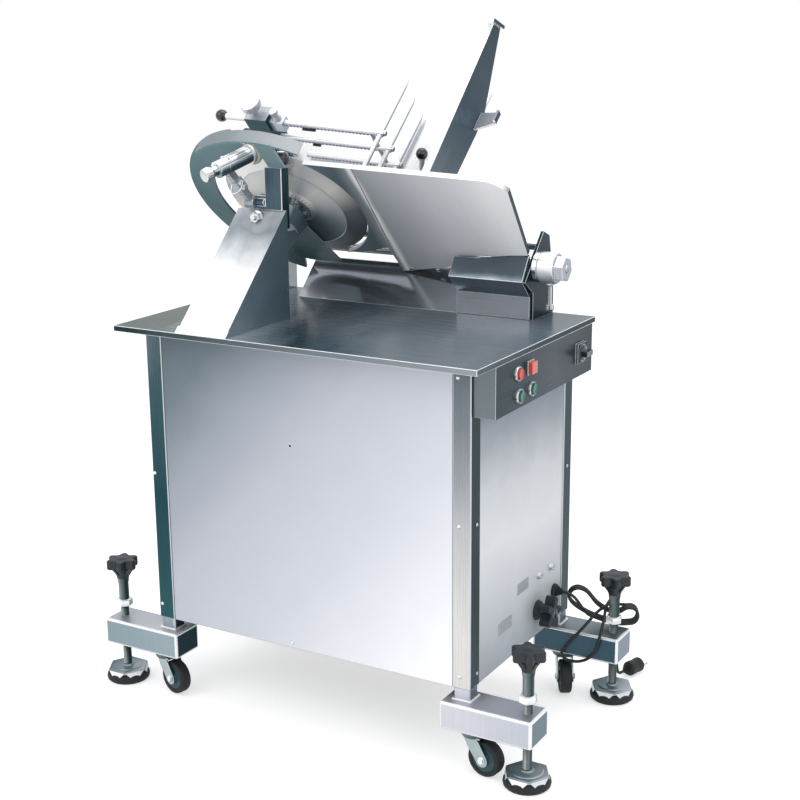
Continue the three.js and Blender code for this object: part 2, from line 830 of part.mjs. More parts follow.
function makePanelFittings() {
  const face = -panelRecess;
  const [knobY, knobZ] = handKnobPlace;
  const star = lobedShape(handKnobRadius, handKnobLobes, handKnobLobeShare);
  const grip = topProfile(star, 0, handKnobDepth);
  along(grip.rotateX(-Math.PI / 2), at(face + handKnobStandoff, knobY, knobZ), axisX);
  const shaft = rod(at(face + seatGap, knobY, knobZ), axisX, handKnobStandoff + cutOverrun,
    handKnobShaft, 20, handKnobHubRadius);
  piece(machine, "hand_knob", join(grip, shaft), blackPlastic);

  const [glandY, glandZ] = glandPlace;
  const cap = rod(at(face + seatGap, glandY, glandZ), axisX, glandLength, glandRadius, 16,
    glandNeckRadius + cutOverrun);
  const neck = rod(at(face - glandNeckLength, glandY, glandZ), axisX, glandNeckLength + cutOverrun,
    glandNeckRadius - seatGap, 16);
  piece(machine, "cord_gland", join(cap, neck), blackPlastic);

  const fuses = [["fuse_holder_front", fuseFrontPlace], ["fuse_holder_rear", fuseRearPlace]];
  for (const [name, [y, z]] of fuses) {
    piece(machine, name, rod(at(face + seatGap, y, z), axisX, fuseDepth, fuseRadius, 16), chrome);
  }
}

// A point of the head's plane x = 0 as machine Y and Z
function headYZ(sPlace, u) {
  const point = headPoint(0, sPlace, u);
  return [point.y, point.z];
}

function headRod(x, sPlace, u, length, radius, sides = 16, endRadius = radius) {
  return rod(at(x, sPlace, u), axisY, length, radius, sides, endRadius);
}

const columnBase = worktopHeight + seatGap;
const hubFront = columnBackS - hubHousingLength;

function makeColumn() {
  const crownZ = columnApexZ - columnCrown;
  const profile = [[columnFront + seatGap, columnBase], [columnApexY, columnBase], [columnApexY, crownZ],
    [columnApexY - columnCrown, crownZ]];
  const body = sideProfile(profile, columnLeft, columnRight);
  const skirt = sideProfile([[columnFront - skirtProud, columnBase],
    [columnFront + skirtHeight, columnBase], [columnFront + skirtHeight, columnBase + skirtHeight],
    [columnFront + skirtHeight - skirtProud, columnBase + skirtHeight]],
  columnLeft - skirtProud, columnRight + skirtProud);
  const axis = at(0, Math.cos(tilt), Math.sin(tilt));
  const housing = rod(headPoint(bladeX, hubFront, bladeU), axis, hubHousingLength, hubHousingRadius, 24);
  const hubBack = headYZ(columnBackS, bladeU);
  const hubNose = headYZ(hubFront, bladeU);
  const hubUnder = headYZ(columnBackS, bladeU - hubHousingRadius);
  const foot = sideProfile([[columnApexY - cutOverrun, hubFootBottom], hubUnder, hubBack, hubNose,
    [columnApexY - cutOverrun, hubFootTop]], bladeX - hubFootHalf, bladeX + hubFootHalf);
  const boreStart = headPoint(bladeX, hubFront + hubCapThickness, bladeU);
  const bore = rod(boreStart, axis, hubHousingLength, bladeShaftRadius + seatGap, 20);
  piece(machine, "column", cut(join(body, skirt, housing, foot), bore), whiteSteel);
}

const plateOutline = [plateBottomRight, plateBottomLeft, plateDropRight, plateDropLeft, plateStepUp,
  plateHeel];

// Everything above the lower edge of the gauge plate, from its foremost place to well behind it
function platePocket() {
  const drop = (point) => [point[0], point[1] - plateSeat];
  const ceiling = plateTopRight[1];
  const right = -seatGap;
  const outline = [[right, ceiling], [right, plateBottomRight[1] - plateSeat],
    ...[plateBottomRight, plateBottomLeft, plateDropRight, plateDropLeft].map(drop),
    [plateDropLeft[0] - plateSeat, plateDropLeft[1] - plateSeat], [plateDropLeft[0] - plateSeat, ceiling]];
  const pocket = frontProfile(polygonShape(outline), -plateTravel - plateSeat, bladeRadius);
  head.updateMatrixWorld(true);
  return pocket.applyMatrix4(head.matrixWorld);
}

function makeRearHousing() {
  const base = columnBase;
  const chuteTop = base + chuteRise;
  const chutePeak = housingFrontY + chuteRise;
  const drop = housingBackY - chutePeak - chuteCrown;
  const chute = sideProfile([[housingFrontY, base], [housingBackY, base],
    [housingBackY, chuteTop - drop], [chutePeak + chuteCrown, chuteTop], [chutePeak, chuteTop]],
  housingLeft + seatGap, chuteRight);
  const shelf = base + pedestalHeight;
  const bandTop = headYZ(bandWall / 2, bandTopU);
  const bandEdge = headYZ(-bandWall / 2, bandTopU);
  const ledgeY = housingFrontY - ledgeOut;
  const pedestal = sideProfile([[housingFrontY, base], [housingBackY, base], [housingBackY, shelf],
    [bandTop[0] + bandShelf, shelf], bandTop, bandEdge, [ledgeY, base + ledgeHeight],
    [housingFrontY, shelf - bandWall]],
  chuteRight - cutOverrun, endPlateRight - endPlateSheet - seatGap);
  piece(machine, "rear_housing", cut(join(chute, pedestal), platePocket()), brushedSteel);
}

function makeEndPlate() {
  const upper = [endPlateWaist, endPlateShoulder, endPlateApex, endPlateNose];
  const footFront = headDepth + endPlateFootFront;
  const outline = [[footFront, columnBase], [headDepth + endPlateFootBack, columnBase],
    ...upper.map(([y, z]) => [headDepth + y, headHeight + z]), [footFront, columnBase + pedestalHeight]];
  const left = endPlateRight - endPlateSheet;
  const sheet = sideProfile(outline, left, endPlateRight);
  const hole = rod(at(left - cutOverrun, nutY, nutZ), axisX, endPlateSheet + 2 * cutOverrun,
    nutShaftRadius + seatGap, 20);
  piece(machine, "end_plate", cut(sheet, hole), brushedSteel);
}

function makeThicknessNut() {
  const start = endPlateRight + seatGap;
  const bodyStart = start + nutFlangeLength;
  const noseStart = bodyStart + nutBodyLength;
  const shaft = rod(at(start - nutShaftLength, nutY, nutZ), axisX, nutShaftLength + cutOverrun,
    nutShaftRadius, 20);
  const flange = rod(at(start, nutY, nutZ), axisX, nutFlangeLength, nutFlangeRadius, 24);
  const body = rod(at(bodyStart - cutOverrun, nutY, nutZ), axisX, nutBodyLength + cutOverrun,
    nutBodyRadius, 24, nutBodyRadius - cutOverrun);
  const nose = topProfile(hexagonShape(nutNoseAcross), -cutOverrun, nutNoseLength);
  nose.rotateY(Math.PI / 2).translate(noseStart, nutY, nutZ);
  const spokeX = bodyStart + nutBodyLength / 2;
  const reach = nutBodyRadius + nutSpokeLength - cutOverrun;
  const spokes = [axisY, axisZ.clone().negate()].map((direction) => {
    const spoke = rod(at(spokeX, nutY, nutZ), direction, reach, nutSpokeRadius, 12);
    const tip = at(spokeX, nutY, nutZ).addScaledVector(direction, reach - cutOverrun);
    const grip = rod(tip, direction, nutGripLength, nutGripRadius, 16);
    return join(spoke, grip);
  });
  piece(machine, "thickness_nut", join(shaft, flange, body, nose, ...spokes), chrome);
}

function bladeArc(shape, radius, from, to, centreX = bladeX) {
  const turn = from > to;
  shape.absarc(centreX, bladeU, radius, radians(from), radians(to), turn);
}

function makeGaugePlate() {
  const shape = new THREE.Shape();
  const [first, ...others] = plateOutline;
  shape.moveTo(...first);
  others.forEach((point) => shape.lineTo(...point));
  bladeArc(shape, plateArcRadius, plateArcFrom, plateArcTo);
  shape.lineTo(...plateTopRight);
  shape.quadraticCurveTo(...plateShoulder, ...plateCornerRight);
  const plate = frontProfile(shape, 0, plateThickness, 24);
  const [topX, topU] = seamTop;
  const [bottomX, bottomU] = seamBottom;
  const groove = frontProfile(polygonShape([[topX, topU], [topX - seamWidth, topU],
    [bottomX - seamWidth, bottomU], [bottomX, bottomU]]), -cutOverrun, seamDepth);
  piece(head, "gauge_plate", cut(plate, groove), darkSteel);
}

function makeBlade() {
  const edgeFront = bladeEdgeS - bladeEdgeThickness;
  const profile = [[0, bladeHubS], [bladeHubRadius, bladeHubS], [bladeDishRadius, bladeDishS],
    [bladeLandRadius, bladeDishS], [bladeRidgeRadius, bladeRidgeS], [bladeRadius, edgeFront],
    [bladeRadius, bladeEdgeS], [bladeRidgeRadius, bladeEdgeS - bladeEdgeThickness / 2],
    [bladeLandRadius, bladeHollowS], [0, bladeHollowS]];
  const disc = turned(profile, at(bladeX, 0, bladeU), axisY, 48);
  const shaft = headRod(bladeX, bladeHubS - bladeShaftLength, bladeU, bladeShaftLength + cutOverrun,
    bladeShaftRadius, 20);
  piece(head, "blade", join(disc, shaft), brushedSteel);
}

function ringSector(inner, outer, from, to, front, back, segments) {
  const shape = new THREE.Shape();
  bladeArc(shape, outer, from, to, guardX);
  bladeArc(shape, inner, to, from, guardX);
  return frontProfile(shape, front, back, segments);
}

function makeBladeGuard() {
  const back = guardFront + guardThickness;
  const ring = ringSector(guardInner, guardOuter, guardFrom, guardTo, guardFront, back, 28);
  const rim = ringSector(guardOuter - rimWall, guardOuter, rimFrom, rimTo, -rimDepth,
    guardFront + cutOverrun, 14);
  const lugFoot = headLocal(armFrontY - lugThickness, armTop + seatGap);
  const lug = box(lugLeft, lugRight, lugFoot.y, lugFoot.y + lugThickness, lugFoot.z,
    bladeU + guardOuter - lugLap);
  const shelfBottom = armTop + seatGap;
  const shelfTop = shelfBottom + lugThickness;
  const shelf = sideProfile([[armFrontY, shelfBottom], [armBackY, shelfBottom], [armBackY, shelfTop],
    [armFrontY - lugThickness, shelfTop]], lugLeft, lugRight);
  shelf.applyMatrix4(head.matrixWorld.clone().invert());
  piece(head, "blade_guard", join(ring, rim, lug, shelf), brushedSteel);
}

// Machine Y and Z as the head's own s and u
function headLocal(y, z) {
  return at(0, y, z).applyMatrix4(head.matrixWorld.clone().invert());
}

function makeDeflector() {
  const near = columnBackS + seatGap;
  const shape = new THREE.Shape();
  const [topX, topU] = deflectorTop;
  const [bottomX, bottomU] = deflectorBottom;
  const bottomAngle = Math.atan2(bottomU - bladeU, bottomX - bladeX) * 180 / Math.PI;
  const leftAngle = -Math.acos((deflectorLeft - bladeX) / deflectorRadius) * 180 / Math.PI;
  shape.moveTo(topX, topU);
  shape.lineTo(bottomX, bottomU);
  bladeArc(shape, deflectorRadius, bottomAngle, leftAngle);
  shape.lineTo(deflectorLeft, topU);
  const sheet = frontProfile(shape, near, near + deflectorThickness, 10);
  const hole = headRod(bladeX, near - cutOverrun, bladeU, deflectorThickness + 2 * cutOverrun,
    bladeShaftRadius + cutOverrun, 20);
  piece(head, "slice_deflector", cut(sheet, hole), brushedSteel);
}

function makeSharpener() {
  const aim = at(...sharpenerAim).normalize();
  const stoneFront = headPoint(stoneX, stoneS, stoneU).addScaledVector(aim, -stoneLength / 2);
  const stoneProfile = [[stoneBoreRadius, 0], [stoneRadius, 0], [stoneRadius, stoneLength / 2],
    [stoneFaceRadius, stoneLength], [stoneBoreRadius, stoneLength], [stoneBoreRadius, 0]];
  piece(machine, "grinding_stone", turned(stoneProfile, stoneFront, aim, 28), stoneGrit);

  const ringStart = stoneFront.clone().addScaledVector(aim, -seatGap - sharpenerRingLength);
  const bodyStart = ringStart.clone().addScaledVector(aim, -sharpenerBodyLength);
  const neckStart = bodyStart.clone().addScaledVector(aim, -sharpenerNeckLength);
  const knobStart = neckStart.clone().addScaledVector(aim, -sharpenerKnobLength);
  const shaft = rod(bodyStart, aim, sharpenerBodyLength + sharpenerRingLength + stoneLength - cutOverrun,
    stoneShaftRadius, 16);
  const parts = [rod(ringStart, aim, sharpenerRingLength, sharpenerRingRadius, 24),
    rod(bodyStart, aim, sharpenerBodyLength + cutOverrun, sharpenerBodyRadius, 24),
    rod(neckStart, aim, sharpenerNeckLength + cutOverrun, sharpenerNeckRadius, 20),
    rod(knobStart, aim, sharpenerKnobLength + cutOverrun, sharpenerKnobRadius, 24), shaft];
  const [mountX, mountY] = linkMount;
  const share = (mountY - bodyStart.y) / aim.y;
  const mount = bodyStart.clone().addScaledVector(aim, share);
  mount.x = mountX;
  const pin = at(...linkStart);
  const direction = mount.clone().sub(pin);
  const length = direction.length();
  const link = box(-linkThickness / 2, linkThickness / 2, 0, length, -linkWidth / 2, linkWidth / 2);
  along(link, pin, direction);
  const bossStart = at(pin.x - linkPinLength / 2, pin.y, pin.z);
  const boss = rod(bossStart, axisX, linkPinLength, linkBossRadius, 20);
  const bore = rod(bossStart.setX(bossStart.x - cutOverrun), axisX, linkPinLength + 2 * cutOverrun,
    linkPinRadius + seatGap, 16);
  parts.push(link, boss);
  piece(machine, "sharpener", cut(join(...parts), bore), chrome);
}

function makeArm() {
  const crown = columnApexZ - columnCrown + seatGap;
  const post = box(armLeft, armRight, armFrontY, armBackY, crown, armTop);
  const back = box(armLeft, armRight, columnApexY + seatGap, armBackY, crown - armBackDrop,
    crown + cutOverrun);
  const [pinX, pinY, pinZ] = linkStart;
  const ear = box(pinX + linkPinLength / 2 + seatGap, armLeft + cutOverrun, armFrontY, armBackY, crown,
    pinZ + linkBossRadius);
  const pinStart = pinX - linkPinLength / 2 - cutOverrun;
  const pin = rod(at(pinStart, pinY, pinZ), axisX, armLeft - pinStart, linkPinRadius, 16);
  piece(machine, "guard_arm", join(post, back, ear, pin), brushedSteel);
}

function makeArmKnob() {
  const base = armTop + 2 * seatGap + lugThickness;
  const face = armKnobRadius - armKnobChamfer;
  const profile = [[0, 0], [face, 0], [armKnobRadius, armKnobChamfer],
    [armKnobRadius, armKnobHeight - armKnobChamfer], [face, armKnobHeight], [0, armKnobHeight]];
  piece(machine, "guard_knob", turned(profile, at(armKnobX, armKnobY, base), axisZ, 24), blackPlastic);
}

function fromHead(geometry) {
  head.updateMatrixWorld(true);
  hopper.updateMatrixWorld(true);
  return geometry.applyMatrix4(head.matrixWorld).applyMatrix4(hopper.matrixWorld.clone().invert());
}

function makeTray() {
  const shape = new THREE.Shape();
  shape.moveTo(floorLeft, floorNear);
  shape.lineTo(floorRight, floorNear);
  shape.lineTo(floorRight, floorFar);
  shape.lineTo(floorStepLeft, floorFar);
  shape.lineTo(floorStepLeft, floorStep);
  shape.lineTo(floorLeft + floorCorner, floorStep);
  shape.quadraticCurveTo(floorLeft, floorStep, floorLeft, floorStep - floorCorner);
  const floor = topProfile(shape, floorU, floorU + floorSheet, 6);
  const slider = box(sliderLeft, sliderRight, sliderNear, sliderFar, sliderBottom, sliderTop);
  const bores = railPlaces.map(([sPlace, u]) => rod(at(sliderLeft - cutOverrun, sPlace, u), axisX,
    sliderRight - sliderLeft + 2 * cutOverrun, railRadius + sliderBoreClearance, 20));
  const [bossS, bossU] = [leverS, floorU + floorSheet];
  const boss = box(leverX - leverBossLength, leverX - leverBossLength / 2 - seatGap,
    bossS - leverBossRadius, bossS + leverBossRadius, bossU - cutOverrun, leverU + leverBossRadius);
  piece(hopper, "carriage_tray", join(floor, fromHead(cut(slider, ...bores)), boss), brushedSteel);
}

function makeWall() {
  const left = floorRight + seatGap;
  const right = left + wallSheet;
  const wall = sideProfile([wallFoot, wallRoot, wallHeel, wallTip, wallTop, wallFront], left, right);
  const inset = ([sPlace, u]) => [sPlace + wallFlangeSheet, u - wallFlangeSheet];
  const floorTop = floorU + floorSheet + seatGap;
  const footShare = (floorTop - wallFoot[1]) / (wallFront[1] - wallFoot[1]);
  const footS = wallFoot[0] + footShare * (wallFront[0] - wallFoot[0]);
  const flange = sideProfile([[footS, floorTop], [footS + wallFlangeSheet, floorTop], inset(wallFront),
    [wallTop[0], wallTop[1] - wallFlangeSheet], wallTop, wallFront], left - wallFlange, left + cutOverrun);
  const capLength = Math.hypot(capFar[0] - capNear[0], capFar[1] - capNear[1]);
  const aside = (capFar[1] - capNear[1]) / capLength;
  const ahead = (capFar[0] - capNear[0]) / capLength;
  const inner = ([sPlace, u]) => [sPlace + aside * capThickness, u - ahead * capThickness];
  const middle = (left + right) / 2;
  const capOutline = [inner(capNear), inner(capFar), capFar, capNear];
  const cap = sideProfile(capOutline, middle - capHalf, middle + capHalf);
  const pullTop = wallHeel[1] + pullLift;
  const tip = right + pullReach;
  const tipNear = pullNear + pullTaper;
  const tipFar = pullFar - pullTaper;
  const pullShape = polygonShape([[right - cutOverrun, pullNear], [tip, tipNear], [tip, tipFar],
    [right - cutOverrun, pullFar]]);
  const strip = topProfile(pullShape, pullTop - pullSheet, pullTop);
  const lip = box(tip - pullSheet, tip, tipNear, tipFar, pullTop - cutOverrun, pullTop + pullLip);
  const rising = new THREE.Matrix4().set(1, 0, 0, 0, 0, 1, 0, 0, pullSlope, 0, 1, -pullSlope * right,
    0, 0, 0, 1);
  const pull = join(strip, lip).applyMatrix4(rising);
  piece(hopper, "carriage_wall", join(wall, flange, cap, pull), brushedSteel);
}

function makeFence() {
  const parts = [];
  fenceBarUs.forEach((u, index) => {
    const barStart = at(fenceX, fenceBarNear, u);
    const bar = [[0, 0], [fenceBarRadius, 0], [fenceBarRadius, fenceBarFar - fenceBarNear],
      [0, fenceBarFar - fenceBarNear + fencePoint]];
    parts.push(turned(bar, barStart, axisY, 10));
    const left = fenceRodLefts[index];
    parts.push(rod(at(left, fenceRodS, u), axisX, fenceX - left, fenceRodRadius, 10));
  });
  const top = fenceBarUs[0];
  const bottom = fenceBarUs[fenceBarUs.length - 1];
  parts.push(rod(at(fenceTieX, fenceRodS, bottom), axisZ, top - bottom, fenceTieRadius, 10));
  const ball = new THREE.SphereGeometry(fenceBallRadius, 14, 8);
  ball.translate(fenceRodLefts[0], fenceRodS, top);
  parts.push(ball);
  piece(hopper, "meat_fence", join(...parts), chrome);
}

function makeFenceBracket() {
  const near = fenceRodS - blockHalf;
  const far = fenceRodS + blockHalf;
  const base = floorU + floorSheet + seatGap;
  const body = box(blockLeft, blockRight, near, far, base, blockTop);
  const bores = fenceBarUs.map((u) => rod(at(blockLeft - cutOverrun, fenceRodS, u), axisX,
    blockRight - blockLeft + 2 * cutOverrun, fenceRodRadius + rodClearance, 12));
  piece(hopper, "fence_bracket", cut(body, ...bores), whiteSteel);
}

function makeFenceKnob() {
  const base = blockTop + seatGap;
  const x = blockLeft + lockKnobRadius;
  const stem = rod(at(x, fenceRodS, base), axisZ, lockStemHeight + cutOverrun, lockStemRadius, 16);
  const grip = rod(at(x, fenceRodS, base + lockStemHeight), axisZ, lockKnobHeight, lockKnobRadius, 24);
  piece(hopper, "fence_knob", join(stem, grip), whiteSteel);
}

function makeClampLever() {
  const bossStart = at(leverX - leverBossLength / 2, leverS, leverU);
  const boss = rod(bossStart, axisX, leverBossLength, leverHubRadius, 20);
  const direction = at(0, leverBallS - leverS, leverBallU - leverU);
  const stem = rod(at(leverX, leverS, leverU), direction, direction.length(), leverStemRadius, 12);
  const ball = new THREE.SphereGeometry(leverBallRadius, 14, 8).translate(leverX, leverBallS, leverBallU);
  piece(hopper, "clamp_lever", join(boss, stem, ball), chrome);
}

function makeRails() {
  const parts = railPlaces.map(([sPlace, u]) => {
    const start = headPoint(railLeft, sPlace, u);
    return rod(start, axisX, railRight - seatGap - railLeft, railRadius, 20);
  });
  const rise = columnBase;
  const [upper, lower] = railPlaces;
  const margin = railPlateMargin;
  const outline = [[housingBackY - railPlateFoot, rise], [housingBackY + chuteCrown, rise],
    [housingBackY + chuteCrown, headYZ(lower[0], lower[1] - margin)[1]],
    headYZ(upper[0] + margin, lower[1]), headYZ(upper[0] + margin, upper[1] + margin),
    headYZ(upper[0] - margin, upper[1] + margin), headYZ(lower[0] - margin, lower[1]),
    headYZ(lower[0] - margin - railPlateHeel[0], lower[1] - margin - railPlateHeel[1])];
  parts.push(sideProfile(outline, railLeft, railLeft + railPlateSheet));
  piece(machine, "guide_rails", join(...parts), chrome);
}

function makeMotor() {
  const base = cabinetBottom + traySheet + seatGap;
  const halfWidth = gearCaseWidth / 2;
  const halfDepth = gearCaseDepth / 2;
  const footX = halfWidth + motorFootMargin;
  const footY = halfDepth + motorFootMargin;
  const foot = box(motorX - footX, motorX + footX, motorY - footY, motorY + footY, base,
    base + motorFootHeight);
  const casing = box(motorX - halfWidth, motorX + halfWidth, motorY - halfDepth, motorY + halfDepth, base,
    base + gearCaseHeight);
  const middle = base + gearCaseHeight / 2 + motorFootHeight;
  const can = rod(at(motorX + halfWidth - cutOverrun, motorY, middle), axisX, motorLength, motorRadius, 24);
  const shaft = rod(at(motorX, motorY, base + gearCaseHeight - cutOverrun), axisZ,
    motorShaftLength + pulleyWidth, motorShaftRadius, 16);
  const pulley = rod(at(motorX, motorY, base + gearCaseHeight + motorShaftLength - cutOverrun), axisZ,
    pulleyWidth, pulleyRadius, 24);
  piece(machine, "drive_motor", join(foot, casing, can, shaft, pulley), motorPaint);
}

const cordMouth = at(seatGap + glandLength - panelRecess, ...glandPlace);
const fromMouth = ([x, y, z]) => cordMouth.clone().add(at(x, y, z));

// One loop of the hank lies in an upright plane, drawn in at the waist, with a round lobe at
// each end. Each loop lies one pitch behind the one before.
function hankPoint(angle, from, turns) {
  const side = Math.cos(angle);
  const length = side < 0 ? hankLeftLength : hankRightLength;
  const reach = (length - hankLobe) * Math.tanh(hankSharpness * side) / Math.tanh(hankSharpness);
  const run = reach + hankLobe * side;
  const pinch = 1 - hankPinchShare * Math.exp(-((run / hankPinchLength) ** 2));
  const rise = hankLobe * Math.sin(angle) * pinch;
  const share = THREE.MathUtils.smoothstep(run, -hankBend, hankBend);
  const bend = radians(THREE.MathUtils.lerp(-hankLeftRise, hankRightRise, share));
  const forward = run * Math.cos(bend) - rise * Math.sin(bend);
  const up = run * Math.sin(bend) + rise * Math.cos(bend);
  const aim = radians(hankAim);
  const ahead = hankPitch * (turns / 2 - (angle - from) / (2 * Math.PI));
  const point = fromMouth(hankWaist);
  point.x += forward * Math.cos(aim) + ahead * Math.sin(aim);
  point.y += forward * Math.sin(aim) - ahead * Math.cos(aim);
  point.z += up;
  return point;
}

function cordTube(route, start, end, sides, steps) {
  const stretch = new THREE.Curve();
  stretch.getPoint = (t) => route.getPoint(start + (end - start) * t);
  stretch.arcLengthDivisions = steps * cordSamplesPerPoint;
  const section = [];
  for (let i = 0; i < sides; i += 1) {
    const angle = 2 * Math.PI * i / sides;
    section.push([cordRadius * Math.cos(angle), cordRadius * Math.sin(angle)]);
  }
  return new THREE.ExtrudeGeometry(polygonShape(section),
    { steps, extrudePath: stretch, bevelEnabled: false });
}

// The smallest clear distance between stretches of the cord that are far apart along it
function leastGap(route, start, end, samples) {
  const points = [];
  for (let i = 0; i <= samples; i += 1) {
    points.push(route.getPoint(start + (end - start) * i / samples));
  }
  const travelled = [0];
  for (let i = 1; i < points.length; i += 1) {
    travelled.push(travelled[i - 1] + points[i].distanceTo(points[i - 1]));
  }
  let least = Infinity;
  let where = points[0];
  points.forEach((point, i) => {
    for (let j = i + 1; j < points.length; j += 1) {
      const apart = point.distanceTo(points[j]) - 2 * cordRadius;
      if (travelled[j] - travelled[i] < cordApart || apart > least) continue;
      least = apart;
      where = point;
    }
  });
  return { least, where, length: travelled[travelled.length - 1] };
}

function makeCord() {
  const from = radians(hankFrom);
  const turns = hankLoops + (360 + hankEnd - hankFrom) / 360 - 1;
  const hankCount = Math.round(turns * hankSteps);
  const hank = [];
  for (let i = 0; i <= hankCount; i += 1) {
    hank.push(hankPoint(from + 2 * Math.PI * turns * i / hankCount, from, turns));
  }
  const lead = cordLead.map(fromMouth);
  const tail = cordTail.map(fromMouth);
  lead[0].x += seatGap;
  const route = new THREE.CatmullRomCurve3([...lead, ...hank, ...tail], false, "centripetal");
  const last = lead.length + hank.length + tail.length - 1;
  const gapShare = (place) => {
    const probe = 1 / (last * hankSteps);
    return seatGap / 2 * probe / route.getPoint(place).distanceTo(route.getPoint(place + probe));
  };
  const hankStart = lead.length / last;
  const hankStop = (lead.length + hank.length - 1) / last;
  const startGap = gapShare(hankStart);
  const stopGap = gapShare(hankStop);
  const { least, where, length } = leastGap(route, 0, 1, last * cordSamplesPerPoint);
  const place = where.toArray().map((value) => value.toFixed(0)).join(", ");
  console.log(`cord: ${length.toFixed(0)} mm long, least gap to itself ${least.toFixed(2)} mm at ${place}`);
  const leadSteps = Math.ceil(last * hankStart);
  const tailSteps = Math.ceil(tail.length * tailStepsPerPoint);
  piece(machine, "cord_lead", cordTube(route, 0, hankStart - startGap, cordSides, leadSteps), blackRubber);
  piece(machine, "cord_hank",
    cordTube(route, hankStart + startGap, hankStop - stopGap, hankSides, hankCount), blackRubber);
  piece(machine, "cord_tail", cordTube(route, hankStop + stopGap, 1, cordSides, tailSteps), blackRubber);

  const end = tail[tail.length - 1];
  const aim = at(Math.cos(radians(plugAim)), Math.sin(radians(plugAim)), 0);
  const neckStart = end.clone().addScaledVector(aim, seatGap);
  const profile = [[0, 0], [plugNeckRadius, 0], [plugRadius, plugNeckLength],
    [plugRadius, plugNeckLength + plugLength], [0, plugNeckLength + plugLength]];
  const sideways = at(-aim.y, aim.x, 0);
  const pins = [-1, 1].map((sign) => {
    const start = neckStart.clone().addScaledVector(aim, plugNeckLength + plugLength - cutOverrun);
    start.addScaledVector(sideways, sign * pinSpacing / 2);
    return rod(start, aim, pinLength + cutOverrun, pinRadius, 10);
  });
  piece(machine, "plug", join(turned(profile, neckStart, aim, 20), ...pins), blackRubber);
}

makeWorktop();
makeCabinet();
corners.forEach(makeCornerLeg);
corners.forEach(makeJack);
corners.forEach(makeCaster);
makeControls();
makePanelFittings();
makeColumn();
makeRearHousing();
makeEndPlate();
makeThicknessNut();
makeGaugePlate();
makeBlade();
makeBladeGuard();
makeDeflector();
makeSharpener();
makeArm();
makeArmKnob();
makeTray();
makeWall();
makeFence();
makeFenceBracket();
makeFenceKnob();
makeClampLever();
makeRails();
makeMotor();

// The origin lies on the floor, under the middle of the machine without its cord
slicer.updateMatrixWorld(true);
const bounds = new THREE.Box3().setFromObject(slicer, true);
makeCord();
machine.position.set(-(bounds.min.x + bounds.max.x) / 2, -(bounds.min.y + bounds.max.y) / 2, -bounds.min.z);

export default slicer;
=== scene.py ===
import json
import math

import bmesh
import bpy
from mathutils import Matrix, Vector


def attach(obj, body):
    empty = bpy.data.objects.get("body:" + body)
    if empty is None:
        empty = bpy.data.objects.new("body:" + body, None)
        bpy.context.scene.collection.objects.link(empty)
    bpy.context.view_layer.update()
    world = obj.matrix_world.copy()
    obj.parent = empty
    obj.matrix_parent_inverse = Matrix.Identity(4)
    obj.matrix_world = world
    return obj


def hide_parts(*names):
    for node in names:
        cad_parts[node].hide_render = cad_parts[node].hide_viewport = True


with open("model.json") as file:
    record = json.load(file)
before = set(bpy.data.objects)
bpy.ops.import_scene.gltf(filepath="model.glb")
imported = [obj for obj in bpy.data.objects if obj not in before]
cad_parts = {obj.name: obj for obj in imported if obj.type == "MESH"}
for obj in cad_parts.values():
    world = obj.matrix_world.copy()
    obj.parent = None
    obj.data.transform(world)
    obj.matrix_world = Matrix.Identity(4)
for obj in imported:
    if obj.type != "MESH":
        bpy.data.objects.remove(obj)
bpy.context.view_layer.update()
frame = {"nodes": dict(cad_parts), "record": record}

# Axes of the model. The machine's own origin is the floor under its front right corner.
MM = 0.001
TILT = math.radians(45)
ROLL = math.radians(3.5)
X, Y, Z = Vector((1, 0, 0)), Vector((0, 1, 0)), Vector((0, 0, 1))


class Space:
    """Axes of one part of the machine. A call turns its millimetres into metres of the row."""

    def __init__(self, origin, turn):
        self.origin = origin
        self.turn = turn

    def __call__(self, x, y, z):
        return self.origin + self.turn @ Vector((x, y, z)) * MM

    def way(self, x, y, z):
        return (self.turn @ Vector((x, y, z))).normalized()


machine = Space(Vector((386.5, -278.52186, 0)) * MM, Matrix.Identity(3))
head = Space(machine(0, 367, 985), Matrix.Rotation(TILT, 3, "X"))
hopper = Space(head(-350, 0, 150), Matrix.Rotation(ROLL, 3, "Y") @ Matrix.Rotation(TILT, 3, "X"))

# Sizes that recur, in millimetres
CABINET_BOTTOM = 180
CABINET_DEPTH = 474
CABINET_WIDTH = 773
TOP_LEFT = -796
TOP_RIGHT = 48
TOP_FRONT = -72
TOP_FACE = 850
LIP_MIDDLE = 845
COLUMN_RIGHT = -513
PANEL_FACE = -1.7
BOX_FACE = 46.9
CAP_FOOT = 47.3
GLAND = (398, 251)
HAND_KNOB = (313, 236)
SWITCH = (396, 788)

# Camera
FOCAL = 1475.1515
IMAGE = 800
SENSOR = 36
camera_place = machine(1216.509, -2364.509, 1476.041)
camera_back = Vector((0.4847257, -0.83647432, 0.2556398))
camera_right = Vector((0.86633726, 0.49938438, -0.00865957))
camera_up = Vector((-0.12041901, 0.2256678, 0.96673332))


def add_camera():
    data = bpy.data.cameras.new("camera")
    data.sensor_width = SENSOR
    data.lens = FOCAL / IMAGE * SENSOR
    data.clip_start = 0.05
    data.clip_end = 60
    camera = bpy.data.objects.new("camera", data)
    turn = Matrix((camera_right, camera_up, camera_back)).transposed().to_4x4()
    camera.matrix_world = Matrix.Translation(camera_place) @ turn
    bpy.context.scene.collection.objects.link(camera)
    bpy.context.scene.camera = camera


def seen(px, py, point, normal):
    """The place on a plane that shows at a pixel of the photograph."""
    half = IMAGE / 2
    ray = camera_right * (px - half) - camera_up * (py - half) - camera_back * FOCAL
    return camera_place + ray * ((point - camera_place).dot(normal) / ray.dot(normal))


